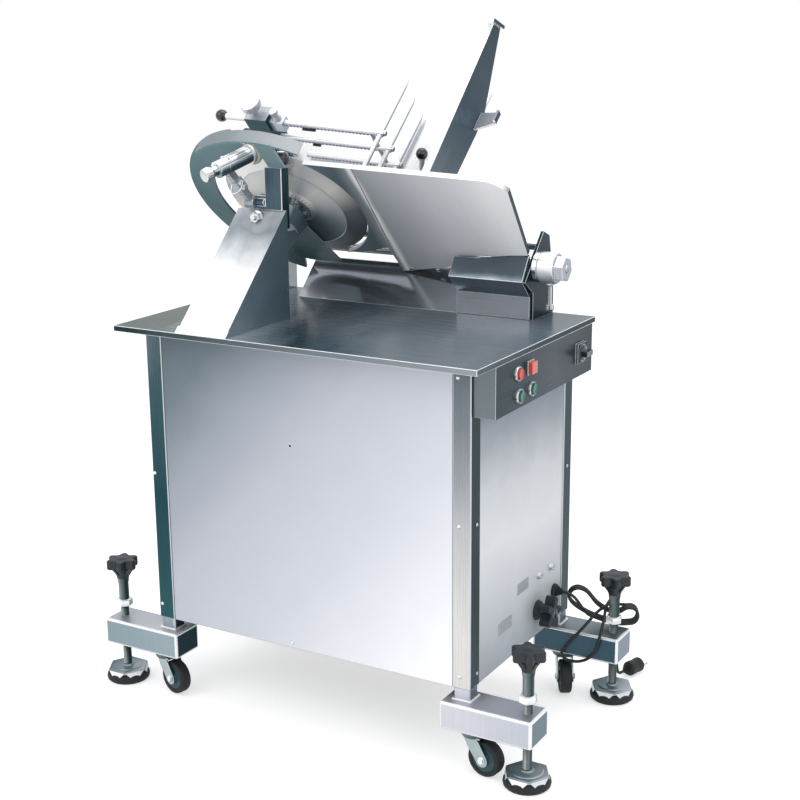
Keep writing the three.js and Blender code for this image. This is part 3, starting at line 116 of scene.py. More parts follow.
# Materials
def linear(code):
    values = [int(code[i:i + 2], 16) / 255 for i in (1, 3, 5)]
    return [v / 12.92 if v <= 0.04045 else ((v + 0.055) / 1.055) ** 2.4 for v in values] + [1.0]


class Paint:
    """The nodes of one material."""

    def __init__(self, name, rough, metal=0.0, coat=0.0, specular=0.5):
        self.material = bpy.data.materials.new(name)
        self.material.use_nodes = True
        self.tree = self.material.node_tree
        self.shader = self.tree.nodes["Principled BSDF"]
        self.shader.inputs["Roughness"].default_value = rough
        self.shader.inputs["Metallic"].default_value = metal
        self.shader.inputs["Coat Weight"].default_value = coat
        self.shader.inputs["Specular IOR Level"].default_value = specular
        self.rough = rough
        coords = self.tree.nodes.new("ShaderNodeTexCoord")
        self.place = coords.outputs["Object"]
        self.normal = coords.outputs["Normal"]

    def node(self, kind, inputs=None, **settings):
        made = self.tree.nodes.new(kind)
        for key, value in settings.items():
            setattr(made, key, value)
        for key, value in (inputs or {}).items():
            if isinstance(value, bpy.types.NodeSocket):
                self.tree.links.new(value, made.inputs[key])
            else:
                made.inputs[key].default_value = value
        return made

    def math(self, operation, a, b):
        return self.node("ShaderNodeMath", {0: a, 1: b}, operation=operation).outputs[0]

    def noise(self, size, space=machine, detail=3.0):
        """Noise whose cells have that size in millimetres on the axes of a space."""
        mapping = self.node("ShaderNodeMapping", {
            "Vector": self.place, "Location": space.origin, "Rotation": space.turn.to_euler(),
            "Scale": Vector(size) * MM}, vector_type="TEXTURE")
        inputs = {"Vector": mapping.outputs[0], "Scale": 1.0, "Detail": detail}
        return self.node("ShaderNodeTexNoise", inputs).outputs[0]

    def run(self, start, end):
        """0 at one point, 1 at the other."""
        way = end - start
        moved = self.node("ShaderNodeVectorMath", {0: self.place, 1: start}, operation="SUBTRACT")
        inputs = {0: moved.outputs[0], 1: way / way.length_squared}
        return self.node("ShaderNodeVectorMath", inputs, operation="DOT_PRODUCT").outputs["Value"]

    def facing(self, way):
        """0 on faces that look away from a direction, 1 on faces that look along it."""
        inputs = {0: self.normal, 1: way.normalized()}
        dot = self.node("ShaderNodeVectorMath", inputs, operation="DOT_PRODUCT").outputs["Value"]
        return self.node("ShaderNodeMapRange", {0: dot, 1: -1.0, 2: 1.0}).outputs[0]

    def ramp(self, value, stops):
        made = self.node("ShaderNodeValToRGB", {0: value})
        ramp = made.color_ramp
        while len(ramp.elements) < len(stops):
            ramp.elements.new(1.0)
        for element, (place, code) in zip(ramp.elements, stops):
            element.position = place
            element.color = linear(code)
        return made.outputs[0]

    def mix(self, share, a, b, blend="MIX"):
        return self.node("ShaderNodeMix", {0: share, 6: a, 7: b}, data_type="RGBA",
                         blend_type=blend).outputs[2]

    def side(self, colour, way, other, low=0.72, high=0.86):
        """Gives faces that look along a direction their own colour: painted light and shade by the way a face
        turns.
        """
        mask = self.node("ShaderNodeMapRange", {0: self.facing(way), 1: low, 2: high}).outputs[0]
        return self.mix(mask, colour, other)

    def clouded(self, value, size, amount, space=machine, detail=3.0):
        wave = self.math("MULTIPLY_ADD", self.noise(size, space, detail), amount)
        wave.node.inputs[2].default_value = -amount / 2
        return self.math("ADD", value, wave)

    def grained(self, colour, size, space=machine, tone=0.12, bump=0.15, depth=0.05, rough=0.2):
        """Brush lines, grit or moulding marks: in the colour, the roughness and the surface."""
        grain = self.noise(size, space, 4.0)
        shade = self.node("ShaderNodeMapRange", {0: grain, 1: 0.25, 2: 0.75, 3: 1 - tone, 4: 1 + tone})
        colour = self.mix(1.0, colour, shade.outputs[0], "MULTIPLY")
        low, high = max(self.rough - rough / 2, 0.03), min(self.rough + rough / 2, 1)
        spread = self.node("ShaderNodeMapRange", {0: grain, 1: 0.25, 2: 0.75, 3: low, 4: high})
        self.tree.links.new(spread.outputs[0], self.shader.inputs["Roughness"])
        inputs = {"Strength": bump, "Distance": depth * MM, "Height": grain}
        raised = self.node("ShaderNodeBump", inputs)
        self.tree.links.new(raised.outputs[0], self.shader.inputs["Normal"])
        return colour

    def done(self, colour):
        self.tree.links.new(colour, self.shader.inputs["Base Color"])
        return self.material


BRUSH_X = (160, 0.9, 0.9)
BRUSH_Y = (0.9, 160, 0.9)
BRUSH_Z = (0.9, 0.9, 160)


def sheet_metal(name, start, end, stops, sides=(), brush=BRUSH_X, space=machine, cloud=0.12,
                rough=0.34, metal=0.3, size=(90, 90, 90), tone=0.05, bump=0.12):
    """Satin sheet: a run of colour from one point to another, other colours on some faces. These runs and
    face colours carry its painted light, shade and reflections.
    """
    paint = Paint(name, rough, metal, specular=0.08)
    value = paint.clouded(paint.run(start, end), size, cloud, space)
    colour = paint.ramp(value, stops)
    for way, first, last, side_stops in sides:
        value = paint.clouded(paint.run(first, last), size, cloud, space)
        colour = paint.side(colour, way, paint.ramp(value, side_stops))
    return paint.done(paint.grained(colour, brush, space, tone, bump))


def round_metal(name, way, stops, rough=0.2, metal=0.7):
    """Bright round metal. Its reflections are drawn by the way that its surface faces."""
    paint = Paint(name, rough, metal)
    value = paint.clouded(paint.facing(way), (25, 25, 25), 0.05)
    return paint.done(paint.grained(paint.ramp(value, stops), (2, 2, 2), machine, 0.04, 0.05, 0.03, 0.08))


def moulded(name, dark, light, rough=0.4, coat=0.0, grit=(0.8, 0.8, 0.8), bump=0.12, metal=0.0):
    """Plastic, rubber or paint with fine grit and a slow change of tone: random clouds, and lighter on faces
    that look up, which is painted light from above.
    """
    paint = Paint(name, rough, metal, coat)
    value = paint.clouded(paint.facing(Z), (30, 30, 30), 0.35)
    colour = paint.ramp(value, [(0.1, dark), (0.95, light)])
    return paint.done(paint.grained(colour, grit, machine, 0.1, bump))


LIGHT_RUN = [(0, "#eef0f3"), (1, "#d9dce1")]
# Painted reflections of chrome: dark and bright bands laid out by the way the surface faces.
CHROME_STOPS = [(0, "#1d3a40"), (0.22, "#2f4b52"), (0.36, "#8f979c"), (0.46, "#d9dcde"), (0.6, "#a9aeb6"),
                (0.66, "#5d6a72"), (0.74, "#e8eaec"), (1, "#ffffff")]
SOFT_CHROME_STOPS = [(0, "#33484e"), (0.3, "#66757b"), (0.5, "#b6babf"), (0.75, "#e9ebed"), (1, "#ffffff")]

# Edge paints, drawn by the way an edge faces: the bright and soft edges are painted highlights and shade
# along eased edges; the dark edge marks the dark joints of panel seams.
edge_highlight = round_metal("highlight_edge", Z, [(0, "#9aa3a8"), (0.4, "#dfe1e4"), (1, "#ffffff")], 0.3, 0.6)
edge_soft = round_metal("soft_edge", Z, [(0, "#5f6f74"), (0.5, "#b9bec4"), (1, "#eceef0")], 0.3, 0.7)
edge_dark = round_metal("dark_edge", Z, [(0, "#0c2428"), (0.5, "#23454b"), (1, "#5d7177")], 0.3, 0.7)
chrome = round_metal("chrome", machine.way(-0.3, -0.5, 0.9), CHROME_STOPS)
soft_chrome = round_metal("soft_chrome", machine.way(-0.3, -0.4, 0.9), SOFT_CHROME_STOPS, 0.28)
white_metal = round_metal("white_metal", machine.way(-0.6, -0.2, 0.8),
                          [(0, "#8b94a0"), (0.28, "#a9afbb"), (0.5, "#eceef2"), (1, "#ffffff")], 0.3, 0.5)
race_zinc = round_metal("race_zinc", machine.way(-0.5, -0.4, 0.7),
                        [(0, "#222d32"), (0.5, "#49545a"), (1, "#82898e")], 0.4, 0.4)
rod_zinc = round_metal("rod_zinc", machine.way(-0.6, -0.4, 0.5),
                       [(0, "#122729"), (0.35, "#2f4142"), (0.6, "#5b6b6f"), (0.8, "#868c88"),
                        (1, "#b4b8b5")], 0.35, 0.8)
black_gloss = moulded("black_gloss", "#05090c", "#1c2a33", 0.22, 0.4, bump=0.03)
knob_plastic = moulded("knob_plastic", "#040e15", "#0d1c26", 0.45, 0.0)
black_matt = moulded("black_matt", "#040506", "#0f1214", 0.6)
tyre_rubber = moulded("tyre_rubber", "#050709", "#14191d", 0.7, bump=0.25)
wheel_disc = moulded("wheel_disc", "#16323a", "#2e515a", 0.5)
cord_rubber = moulded("cord_rubber", "#05080a", "#161d21", 0.55, grit=(0.5, 0.5, 0.5), bump=0.2)
red_cap = moulded("red_cap", "#a3130f", "#d8402f", 0.3, 0.3, bump=0.04)
green_cap = moulded("green_cap", "#04382f", "#0f7a5d", 0.3, 0.3, bump=0.04)
lamp_lens = moulded("lamp_lens", "#b5271b", "#f06a4a", 0.15, 0.6, grit=(3, 3, 3), bump=0.3)
stone_grit = moulded("stone_grit", "#9b9a8c", "#e0dcc9", 0.95, grit=(0.7, 0.7, 0.7), bump=0.8)
motor_enamel = moulded("motor_enamel", "#3c4a55", "#6a7b87", 0.5, bump=0.3)
bare_plate = moulded("bare_plate", "#8d9299", "#b9bdc4", 0.35, metal=0.6, bump=0.1)
bead_steel = moulded("bead_steel", "#8f959d", "#f4f5f7", 0.35, metal=0.6, grit=(3, 3, 3), bump=0.9)
hole_black = moulded("hole_black", "#020303", "#060808", 0.9)
white_mark = moulded("white_mark", "#c9cbcc", "#f2f2f2", 0.5)

# Which body and which slot of the record each node has
record = frame["record"]
body_of = {node: body for body, nodes in record["behaviour"]["bodies"].items() for node in nodes}
slot_of = {part["node"]: part["material_slot"] for part in record["subparts"]}


def place(name, mesh, body, slot, paints, nodes=(), edge=0.0, edge_slot=0, sharp=32, segments=2):
    for paint in paints:
        mesh.materials.append(paint)
    mesh.polygons.foreach_set("use_smooth", [True] * len(mesh.polygons))
    mesh.set_sharp_from_angle(angle=math.radians(sharp))
    piece = bpy.data.objects.new(name, mesh)
    bpy.context.scene.collection.objects.link(piece)
    if edge:
        bevel = piece.modifiers.new("edge", "BEVEL")
        bevel.width = edge * MM
        bevel.segments = segments
        bevel.limit_method = "ANGLE"
        bevel.angle_limit = math.radians(sharp)
        bevel.harden_normals = True
        bevel.material = edge_slot
    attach(piece, body)
    if nodes:
        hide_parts(*nodes)
    return piece


def dressed(node, paints, edge):
    """The node's own shape with its edges eased and in the second paint, which is mostly a painted highlight.
    """
    build = bmesh.new()
    build.from_mesh(frame["nodes"][node].data)
    bmesh.ops.remove_doubles(build, verts=build.verts, dist=1e-5)
    bmesh.ops.dissolve_limit(build, angle_limit=math.radians(0.5), verts=build.verts, edges=build.edges)
    mesh = bpy.data.meshes.new(node + "_dressed")
    build.to_mesh(mesh)
    build.free()
    if "custom_normal" in mesh.attributes:
        mesh.attributes.remove(mesh.attributes["custom_normal"])
    mesh.materials.clear()
    mesh.polygons.foreach_set("material_index", [0] * len(mesh.polygons))
    return place(node + "_dressed", mesh, body_of[node], slot_of[node], paints, [node], edge, 1)


class Shape:
    """Gathers the surfaces of one piece. Sizes are in millimetres, places in metres."""

    def __init__(self):
        self.points = []
        self.faces = []
        self.paints = []

    def add(self, points, faces, paint=0):
        first = len(self.points)
        self.points += points
        self.faces += [[first + i for i in face] for face in faces]
        self.paints += [paint] * len(faces)
        return self

    def lathe(self, profile, start, way, steps=48, paint=0):
        """Turns a profile of (radius, height) about a line."""
        way = way.normalized()
        side = way.orthogonal().normalized()
        other = way.cross(side)
        points = []
        for radius, height in profile:
            for i in range(steps):
                angle = math.tau * i / steps
                around = side * math.cos(angle) + other * math.sin(angle)
                points.append(start + way * height * MM + around * radius * MM)
        faces = []
        for row in range(len(profile) - 1):
            for i in range(steps):
                j = (i + 1) % steps
                low, high = row * steps, (row + 1) * steps
                faces.append([low + i, low + j, high + j, high + i])
        return self.add(points, faces, paint)

    def prism(self, outline, base, across, up, depth, paint=0):
        """Pulls an outline through a depth. across and up are the axes of the outline."""
        way = across.cross(up)
        near = [base + (across * a + up * b) * MM for a, b in outline]
        far = [point + way * depth * MM for point in near]
        count = len(outline)
        around = [[i, (i + 1) % count, count + (i + 1) % count, count + i] for i in range(count)]
        ends = [list(reversed(range(count))), list(range(count, 2 * count))]
        return self.add(near + far, ends + around, paint)

    def box(self, space, low, high, paint=0):
        outline = [(low[0], low[1]), (high[0], low[1]), (high[0], high[1]), (low[0], high[1])]
        across, up = space.way(1, 0, 0), space.way(0, 1, 0)
        depth = high[2] - low[2]
        if across.cross(up).dot(space.way(0, 0, 1)) < 0:
            depth = -depth
        return self.prism(outline, space(0, 0, low[2]), across, up, depth, paint)

    def rod(self, start, end, radius, chamfer=0.6, steps=32, paint=0):
        length = (end - start).length / MM
        profile = [(0, 0), (radius - chamfer, 0), (radius, chamfer), (radius, length - chamfer),
                   (radius - chamfer, length), (0, length)]
        return self.lathe(profile, start, end - start, steps, paint)

    def hexagon(self, start, way, across, height, paint=0, crown=1.5):
        """A nut or bolt head with its corners turned down."""
        corner = across / math.sqrt(3)
        profile = [(0, 0), (corner, 0), (corner, height - crown), (corner - crown, height), (0, height)]
        return self.lathe(profile, start, way, 6, paint)

    def make(self, name, body, slot, paints, nodes=(), edge=0.0, edge_slot=0, sharp=32, segments=2):
        mesh = bpy.data.meshes.new(name)
        mesh.from_pydata(self.points, [], self.faces)
        mesh.polygons.foreach_set("material_index", self.paints)
        build = bmesh.new()
        build.from_mesh(mesh)
        bmesh.ops.remove_doubles(build, verts=build.verts, dist=1e-6)
        bmesh.ops.recalc_face_normals(build, faces=build.faces)
        build.to_mesh(mesh)
        build.free()
        return place(name, mesh, body, slot, paints, nodes, edge, edge_slot, sharp, segments)


def screw_head(name, point, way, radius):
    """A pan head with a cross recess."""
    shape = Shape().lathe([(0, 0), (radius, 0), (radius, 0.6), (radius * 0.8, 1.5), (radius * 0.4, 2),
                           (0, 2)], point, way, 24)
    side = way.orthogonal().normalized()
    for across in (side, way.cross(side)):
        up = way.cross(across)
        bar = [(-radius * 0.55, -0.5), (radius * 0.55, -0.5), (radius * 0.55, 0.5), (-radius * 0.55, 0.5)]
        shape.prism(bar, point + way * 1.7 * MM, across, up, -0.4, 1)
    return shape.make(name, "root", "chrome", [soft_chrome, hole_black], edge=0.15)


LOBED_STEPS = 96


def lobed(radius, lobes, share, power):
    """Outline of a knob with round lobes."""
    outline = []
    for i in range(LOBED_STEPS):
        angle = math.tau * i / LOBED_STEPS
        wave = math.cos(lobes * angle)
        wave = math.copysign(abs(wave) ** power, wave)
        reach = radius * (1 - share + share * wave)
        outline.append((reach * math.cos(angle), reach * math.sin(angle)))
    return outline


# Mains cord: its points are the ones of the solid, in millimetres from the mouth of the gland
CORD_RADIUS = 3.3
SAMPLES = 6
LEAD = [(0.3, 0, 0), (8, 0, 0), (16, 3, -3), (22, 9, -10), (27, 18, -22), (31, 28, -36), (34.5, 38, -49),
        (37.5, 46, -58.5)]
TAIL = [(80, 104, -50), (75, 92, -45.5), (72, 76, -44), (68, 60, -46), (60, 42, -54), (51, 26, -68),
        (38, 14, -87), (20, 12, -109), (2, 12, -134), (-5, 12, -149), (1, 12, -160), (16, 12, -163),
        (34, 12, -161), (56, 12, -150), (72, 12, -130), (80, 12, -104), (86, 15, -76), (87, 26, -52),
        (83, 42, -39), (80, 60, -34), (78, 78, -32.5), (76, 95, -34.5), (75, 110, -44), (76, 119, -61),
        (77, 122, -84), (78, 122, -120), (79, 122, -160), (80, 124, -190), (80, 129, -212), (79, 138, -227),
        (79.4, 147.2, -233.6), (81.8, 155, -234.5), (84.3, 163, -234.5)]
WAIST = (68, 82, -73)
HANK_AIM = math.radians(27)
HANK_LENGTHS = (98, 70)
HANK_RISES = (-38, 6)
HANK_BEND = 45
HANK_LOBE = 23
HANK_PINCH = 0.64
HANK_PINCH_LENGTH = 40
HANK_SHARPNESS = 3
HANK_PITCH = 7.3
HANK_STEPS = 24
HANK_FROM = math.radians(262)
HANK_TURNS = 4 + (360 + 68 - 262) / 360 - 1
PLUG_AIM = math.radians(73)
mouth = machine(20.3, *GLAND)


def hank_point(angle):
    side = math.cos(angle)
    length = HANK_LENGTHS[0] if side < 0 else HANK_LENGTHS[1]
    reach = (length - HANK_LOBE) * math.tanh(HANK_SHARPNESS * side) / math.tanh(HANK_SHARPNESS)
    run = reach + HANK_LOBE * side
    pinch = 1 - HANK_PINCH * math.exp(-(run / HANK_PINCH_LENGTH) ** 2)
    rise = HANK_LOBE * math.sin(angle) * pinch
    part = min(max((run + HANK_BEND) / (2 * HANK_BEND), 0), 1)
    share = part * part * (3 - 2 * part)
    bend = math.radians(HANK_RISES[0] + (HANK_RISES[1] - HANK_RISES[0]) * share)
    forward = run * math.cos(bend) - rise * math.sin(bend)
    up = run * math.sin(bend) + rise * math.cos(bend)
    ahead = HANK_PITCH * (HANK_TURNS / 2 - (angle - HANK_FROM) / math.tau)
    return (WAIST[0] + forward * math.cos(HANK_AIM) + ahead * math.sin(HANK_AIM),
            WAIST[1] + forward * math.sin(HANK_AIM) - ahead * math.cos(HANK_AIM), WAIST[2] + up)


def smooth_route(points):
    """Centripetal Catmull-Rom curve through the points."""
    ahead = 2 * points[0] - points[1]
    behind = 2 * points[-1] - points[-2]
    padded = [ahead] + points + [behind]
    route = []
    for p0, p1, p2, p3 in zip(padded, padded[1:], padded[2:], padded[3:]):
        gaps = [math.sqrt((b - a).length) for a, b in ((p0, p1), (p1, p2), (p2, p3))]
        leave = (p1 - p0) / gaps[0] - (p2 - p0) / (gaps[0] + gaps[1]) + (p2 - p1) / gaps[1]
        reach = (p2 - p1) / gaps[1] - (p3 - p1) / (gaps[1] + gaps[2]) + (p3 - p2) / gaps[2]
        leave, reach = leave * gaps[1], reach * gaps[1]
        for i in range(SAMPLES):
            t = i / SAMPLES
            square, cube = t * t, t * t * t
            route.append(p1 + leave * t + (3 * (p2 - p1) - 2 * leave - reach) * square
                         + (2 * (p1 - p2) + leave + reach) * cube)
    return route + [points[-1]]


def make_cord():
    count = round(HANK_TURNS * HANK_STEPS)
    hank = [hank_point(HANK_FROM + math.tau * HANK_TURNS * i / count) for i in range(count + 1)]
    route = smooth_route([mouth + Vector(point) * MM for point in LEAD + hank + TAIL])
    curve = bpy.data.curves.new("mains_cord", "CURVE")
    curve.dimensions = "3D"
    curve.bevel_depth = CORD_RADIUS * MM
    curve.bevel_resolution = 6
    curve.use_fill_caps = True
    spline = curve.splines.new("POLY")
    spline.points.add(len(route) - 1)
    for target, point in zip(spline.points, route):
        target.co = (*point, 1)
    spline.use_smooth = True
    curve.materials.append(cord_rubber)
    cord = bpy.data.objects.new("mains_cord", curve)
    bpy.context.scene.collection.objects.link(cord)
    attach(cord, "root")
    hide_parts("cord_lead", "cord_hank", "cord_tail")

    aim = Vector((math.cos(PLUG_AIM), math.sin(PLUG_AIM), 0))
    start = route[-1] + aim * 0.3 * MM
    profile = [(3.4, 0), (5.3, 0)]
    for i in range(4):
        reach = 1 + 3 * i
        radius = 5.6 + 2.2 * i
        profile += [(radius, reach), (radius, reach + 1.6), (radius - 0.9, reach + 1.8),
                    (radius - 0.5, reach + 2.6)]
    profile += [(14.5, 14), (16.5, 17), (16.5, 30), (15.4, 33), (15.4, 40), (16.5, 44), (16.5, 52.5),
                (15.5, 54), (0, 54)]
    body = Shape().lathe(profile, start, aim, 40)
    sideways = Vector((-aim.y, aim.x, 0))
    for sign in (-1, 1):
        foot = start + aim * 53 * MM + sideways * sign * 9.5 * MM
        body.rod(foot, foot + aim * 19 * MM, 2.4, 0.8, 16, 1)
    plug = body.make("mains_plug", "root", "black_rubber", [black_matt, chrome], ["plug"], 0.3)

    loops = [Vector(hank_point(HANK_FROM + math.tau * HANK_TURNS * i / count)) for i in range(count + 1)]
    near = [p for p in loops if (p - Vector(WAIST)).length < 26]
    centre = sum(near, Vector()) / len(near)
    along = Vector((math.cos(HANK_AIM), math.sin(HANK_AIM), -0.28)).normalized()
    reach = max(((p - centre) - along * (p - centre).dot(along)).length for p in near) + CORD_RADIUS
    band = Shape().lathe([(reach, -4), (reach + 1.2, -3.4), (reach + 1.2, 3.4), (reach, 4), (reach - 1, 0),
                          (reach, -4)], mouth + centre * MM, along, 32)
    band.make("cord_tie", "root", "black_rubber", [black_matt])

    ribs = [(0, 0), (15, 0), (15, 5), (13, 6)]
    for i in range(5):
        reach = 7 + 2.8 * i
        radius = 12 - 1.35 * i
        ribs += [(radius, reach), (radius, reach + 1.6), (radius - 1.8, reach + 1.8),
                 (radius - 1.8, reach + 2.6)]
    ribs += [(5, 22), (3.4, 22), (0, 21.8)]
    Shape().lathe(ribs, machine(PANEL_FACE, *GLAND), X, 40).make(
        "cord_relief", "root", "black_plastic", [black_matt], ["cord_gland"], 0.2)


# Corners: outriggers, posts, jacks, feet and casters
CORNERS = {"front_right": (1, 1, -8), "front_left": (-1, 1, -14), "rear_right": (1, -1, -60),
           "rear_left": (-1, -1, -12)}
POST_TOP = 846.7
POST_WIDTH = 40
MIDDLE = 17.5
JACK_OUT = 117


def corner_space(side, end):
    origin = machine(0 if side > 0 else -CABINET_WIDTH, 0 if end > 0 else CABINET_DEPTH, 0)
    return Space(origin, Matrix(((side, 0, 0), (0, end, 0), (0, 0, 1))))


def post_paint(name, front, right, back):
    # Each face runs from the top of the post to the bottom: painted light, shade and reflection.
    high, low = machine(0, 0, POST_TOP), machine(0, 0, CABINET_BOTTOM)
    return sheet_metal(name, high, low, back, [(-Y, high, low, front), (X, high, low, right)], BRUSH_Z,
                       size=(60, 60, 220), cloud=0.25, rough=0.3)


# Painted shade: the dark teal is shade and dark reflection on faces turned from the lamps. The lit front of
# the front right post is pale, darkened at the top by a painted shadow under the worktop's lip; the front
# left post's front is painted shade.
POST_SHADE = [(0, "#17343a"), (0.3, "#0e2a30"), (0.7, "#0d262c"), (1, "#193c43")]
LIT_POST_FRONT = [(0, "#5f686f"), (0.2, "#747b81"), (0.5, "#adafb2"), (0.8, "#cfcecc"), (1, "#d0cfcc")]
post_paints = {
    "front_right": post_paint("post_front_right", LIT_POST_FRONT, POST_SHADE, POST_SHADE),
    "front_left": post_paint("post_front_left", [(0, "#6d7b81"), (0.2, "#3c565c"), (0.6, "#1c4048"),
                                                 (1, "#2c5358")], POST_SHADE, POST_SHADE),
    "rear_right": post_paint("post_rear_right", POST_SHADE, [(0, "#1d3f46"), (0.5, "#0e333b"), (1, "#14383e")],
                             POST_SHADE),
    "rear_left": post_paint("post_rear_left", POST_SHADE, POST_SHADE, POST_SHADE),
}


# Front, top and end of each outrigger. Their colours are painted light and shade: pale lit fronts and tops at
# the front, dark teal on the shaded ends and on the rear outriggers.
REAR_FRONT = [(0, "#4a636e"), (1, "#3d5966")]
REAR_TOP = [(0, "#8b97a0"), (1, "#7c8992")]
SHADED_END = [(0, "#0f3239"), (1, "#092c36")]
OUTRIGGER_RUNS = {
    "front_right": ([(0, "#c9c9d1"), (1, "#b4b8c2")], [(0, "#c6cad3"), (1, "#afb4c1")],
                    [(0, "#5b6d77"), (1, "#677882")]),
    "front_left": ([(0, "#93a2a9"), (1, "#84959d")], [(0, "#cacdd5"), (1, "#b9bec8")], SHADED_END),
    "rear_right": (REAR_FRONT, REAR_TOP, [(0, "#6c7b85"), (1, "#7b8894")]),
    "rear_left": (REAR_FRONT, REAR_TOP, SHADED_END),
}


def outrigger_paint(name, space, front, top, end):
    inner, outer = space(-59, 0, 125), space(142, 0, 125)
    return sheet_metal(name, inner, outer, front, [(Z, inner, outer, top), (X, inner, outer, end),
                                                  (-X, inner, outer, end)],
                       BRUSH_Z, space, cloud=0.3, rough=0.4, metal=0.6, tone=0.09, bump=0.3)


def make_corner(name, side, end, swing):
    space = corner_space(side, end)
    pale, top, flank = OUTRIGGER_RUNS[name]
    steel = outrigger_paint("outrigger_" + name, space, pale, top, flank)
    post = Shape().box(space, (-POST_WIDTH, 0, CABINET_BOTTOM), (0, POST_WIDTH, POST_TOP))
    post.make("post_" + name, "root", "dark_steel", [post_paints[name], edge_soft],
              ["corner_leg_" + name], 2.2, 1)
    Shape().box(space, (-38, 2, 150), (-2, 38, 188)).make(
        "stub_" + name, "root", "dark_steel", [steel, edge_soft], edge=4, edge_slot=1)
    Shape().box(space, (-59, -22, 96), (142, 57, 155)).make(
        "outrigger_" + name, "root", "dark_steel", [steel, edge_highlight], edge=5, edge_slot=1, segments=4)
    bead = [(-42, -2), (2, -2), (2, 42), (-42, 42)]
    Shape().prism(bead, space(0, 0, 153), space.way(1, 0, 0), space.way(0, 1, 0), 5 * side * end).make(
        "weld_" + name, "root", "dark_steel", [bead_steel], edge=2.4, segments=3)
    make_jack(name, space)
    make_pad(name, space)
    make_caster(name, space, math.radians(swing))


def make_jack(name, space):
    foot = space(JACK_OUT, MIDDLE, 0)
    body = "jack_" + name
    shape = Shape()
    pitch, steps, radius, depth = 2.5, 24, 9.5, 0.9
    first, last = 33, 182
    rows = round((last - first) / pitch) * 2
    points = []
    for row in range(rows + 1):
        reach = radius - depth * (row % 2)
        for i in range(steps):
            angle = math.tau * i / steps
            height = min(max(first + pitch * (row / 2 + i / steps), first), last)
            points.append(foot + Vector((math.cos(angle) * reach, math.sin(angle) * reach, height)) * MM)
    faces = []
    for row in range(rows):
        low, high = row * steps, (row + 1) * steps
        for i in range(steps - 1):
            faces.append([low + i, low + i + 1, high + i + 1, high + i])
        if row + 3 <= rows:
            faces.append([low + steps - 1, low + 2 * steps, high + 2 * steps, high + steps - 1])
    shape.add(points, faces, 0)
    shape.lathe([(0, 177), (13, 177), (13.6, 178.6), (13, 179.6), (11.5, 180), (11.5, 232), (12.6, 236),
                 (13.4, 244)], foot, Z, 40, 1)
    shape.hexagon(foot + Z * 179 * MM, Z, 32, 15, 2, 2.5)
    shape.hexagon(foot + Z * 179 * MM, Z, 32, 2, 2, 1.2)
    shape.make("jack_" + name + "_rod", body, "zinc", [rod_zinc, rod_zinc, white_metal],
               ["jack_screw_" + name], 0.4, sharp=50)

    grip = Shape()
    grip.prism(lobed(36, 6, 0.14, power=0.8), foot + Z * 268 * MM, X, Y, 22, 0)
    grip.make("jack_" + name + "_grip", body, "black_plastic", [knob_plastic], edge=3.6, segments=4, sharp=50)
    trim = Shape().lathe([(11.6, 242), (13.5, 244), (15, 250), (17.5, 258), (21.5, 266), (26, 269)], foot, Z,
                         48, 0)
    trim.lathe([(0, 290.4), (13, 290.4), (14, 289.8), (15.2, 288.6)], foot, Z, 48, 0)
    for lobe in range(6):
        angle = math.tau * (lobe + 0.5) / 6
        way = Vector((math.cos(angle), math.sin(angle), 0))
        rib = [(12, 0), (27, 22), (30, 24), (16, 26), (12, 24)]
        trim.prism(rib, foot + Z * 245 * MM - way.cross(Z) * 2 * MM, way, Z, 4, 0)
    trim.make("jack_" + name + "_hub", body, "black_plastic", [knob_plastic], edge=0.5, sharp=60)


def make_pad(name, space):
    foot = space(JACK_OUT, MIDDLE, 0)
    body = "foot_" + name
    rubber = Shape().lathe([(0, 0), (40, 0), (44, 0.8), (47.2, 4), (48.4, 9), (47.6, 14), (44.5, 19),
                            (40, 23.5), (34, 26), (0, 26)], foot, Z, 64)
    rubber.make("pad_" + name + "_rubber", body, "black_rubber", [tyre_rubber], ["foot_pad_" + name],
                sharp=60)
    high, low = foot + Vector((-46, 0, 32)) * MM, foot + Vector((46, 0, 32)) * MM
    # Dark teal on the left of the cap to pale on the right, and the same on its top: painted reflection and
    # shade.
    cap_paint = sheet_metal("pad_cap_" + name, high, low, [(0, "#6f8288"), (0.5, "#8d9ba1"), (1, "#b9c1c5")],
                            [(Z, high, low, [(0, "#3c5a62"), (0.45, "#7c8d94"), (1, "#b4bdc2")])],
                            size=(40, 40, 40), cloud=0.4, metal=0.6)
    cap = Shape()
    corner = 46
    apothem = corner * math.cos(math.pi / 6)
    outline = [(corner * math.cos(math.pi * i / 3), corner * math.sin(math.pi * i / 3)) for i in range(6)]
    cap.prism(outline, foot + Z * 24.5 * MM, X, Y, 6, 0)
    cap.lathe([(0, 30), (34, 30), (31, 32.5), (14, 32.6), (13, 36), (10.5, 36.5), (0, 36.5)], foot, Z, 48, 0)
    for i in range(6):
        angle = math.pi * (i + 0.5) / 3
        out = Vector((math.cos(angle), math.sin(angle), 0))
        across = Z.cross(out)
        slope = (out * (apothem - 47.5) + Z * 25).normalized()
        tip = foot + out * 46.8 * MM + Z * 4.5 * MM
        petal = [(0, 0), (22.6, 24.5), (-22.6, 24.5)]
        cap.prism(petal, tip, across, slope, 1.3, 1)
    cap.make("pad_" + name + "_cap", body, "zinc", [cap_paint, white_metal], edge=0.8, sharp=30)


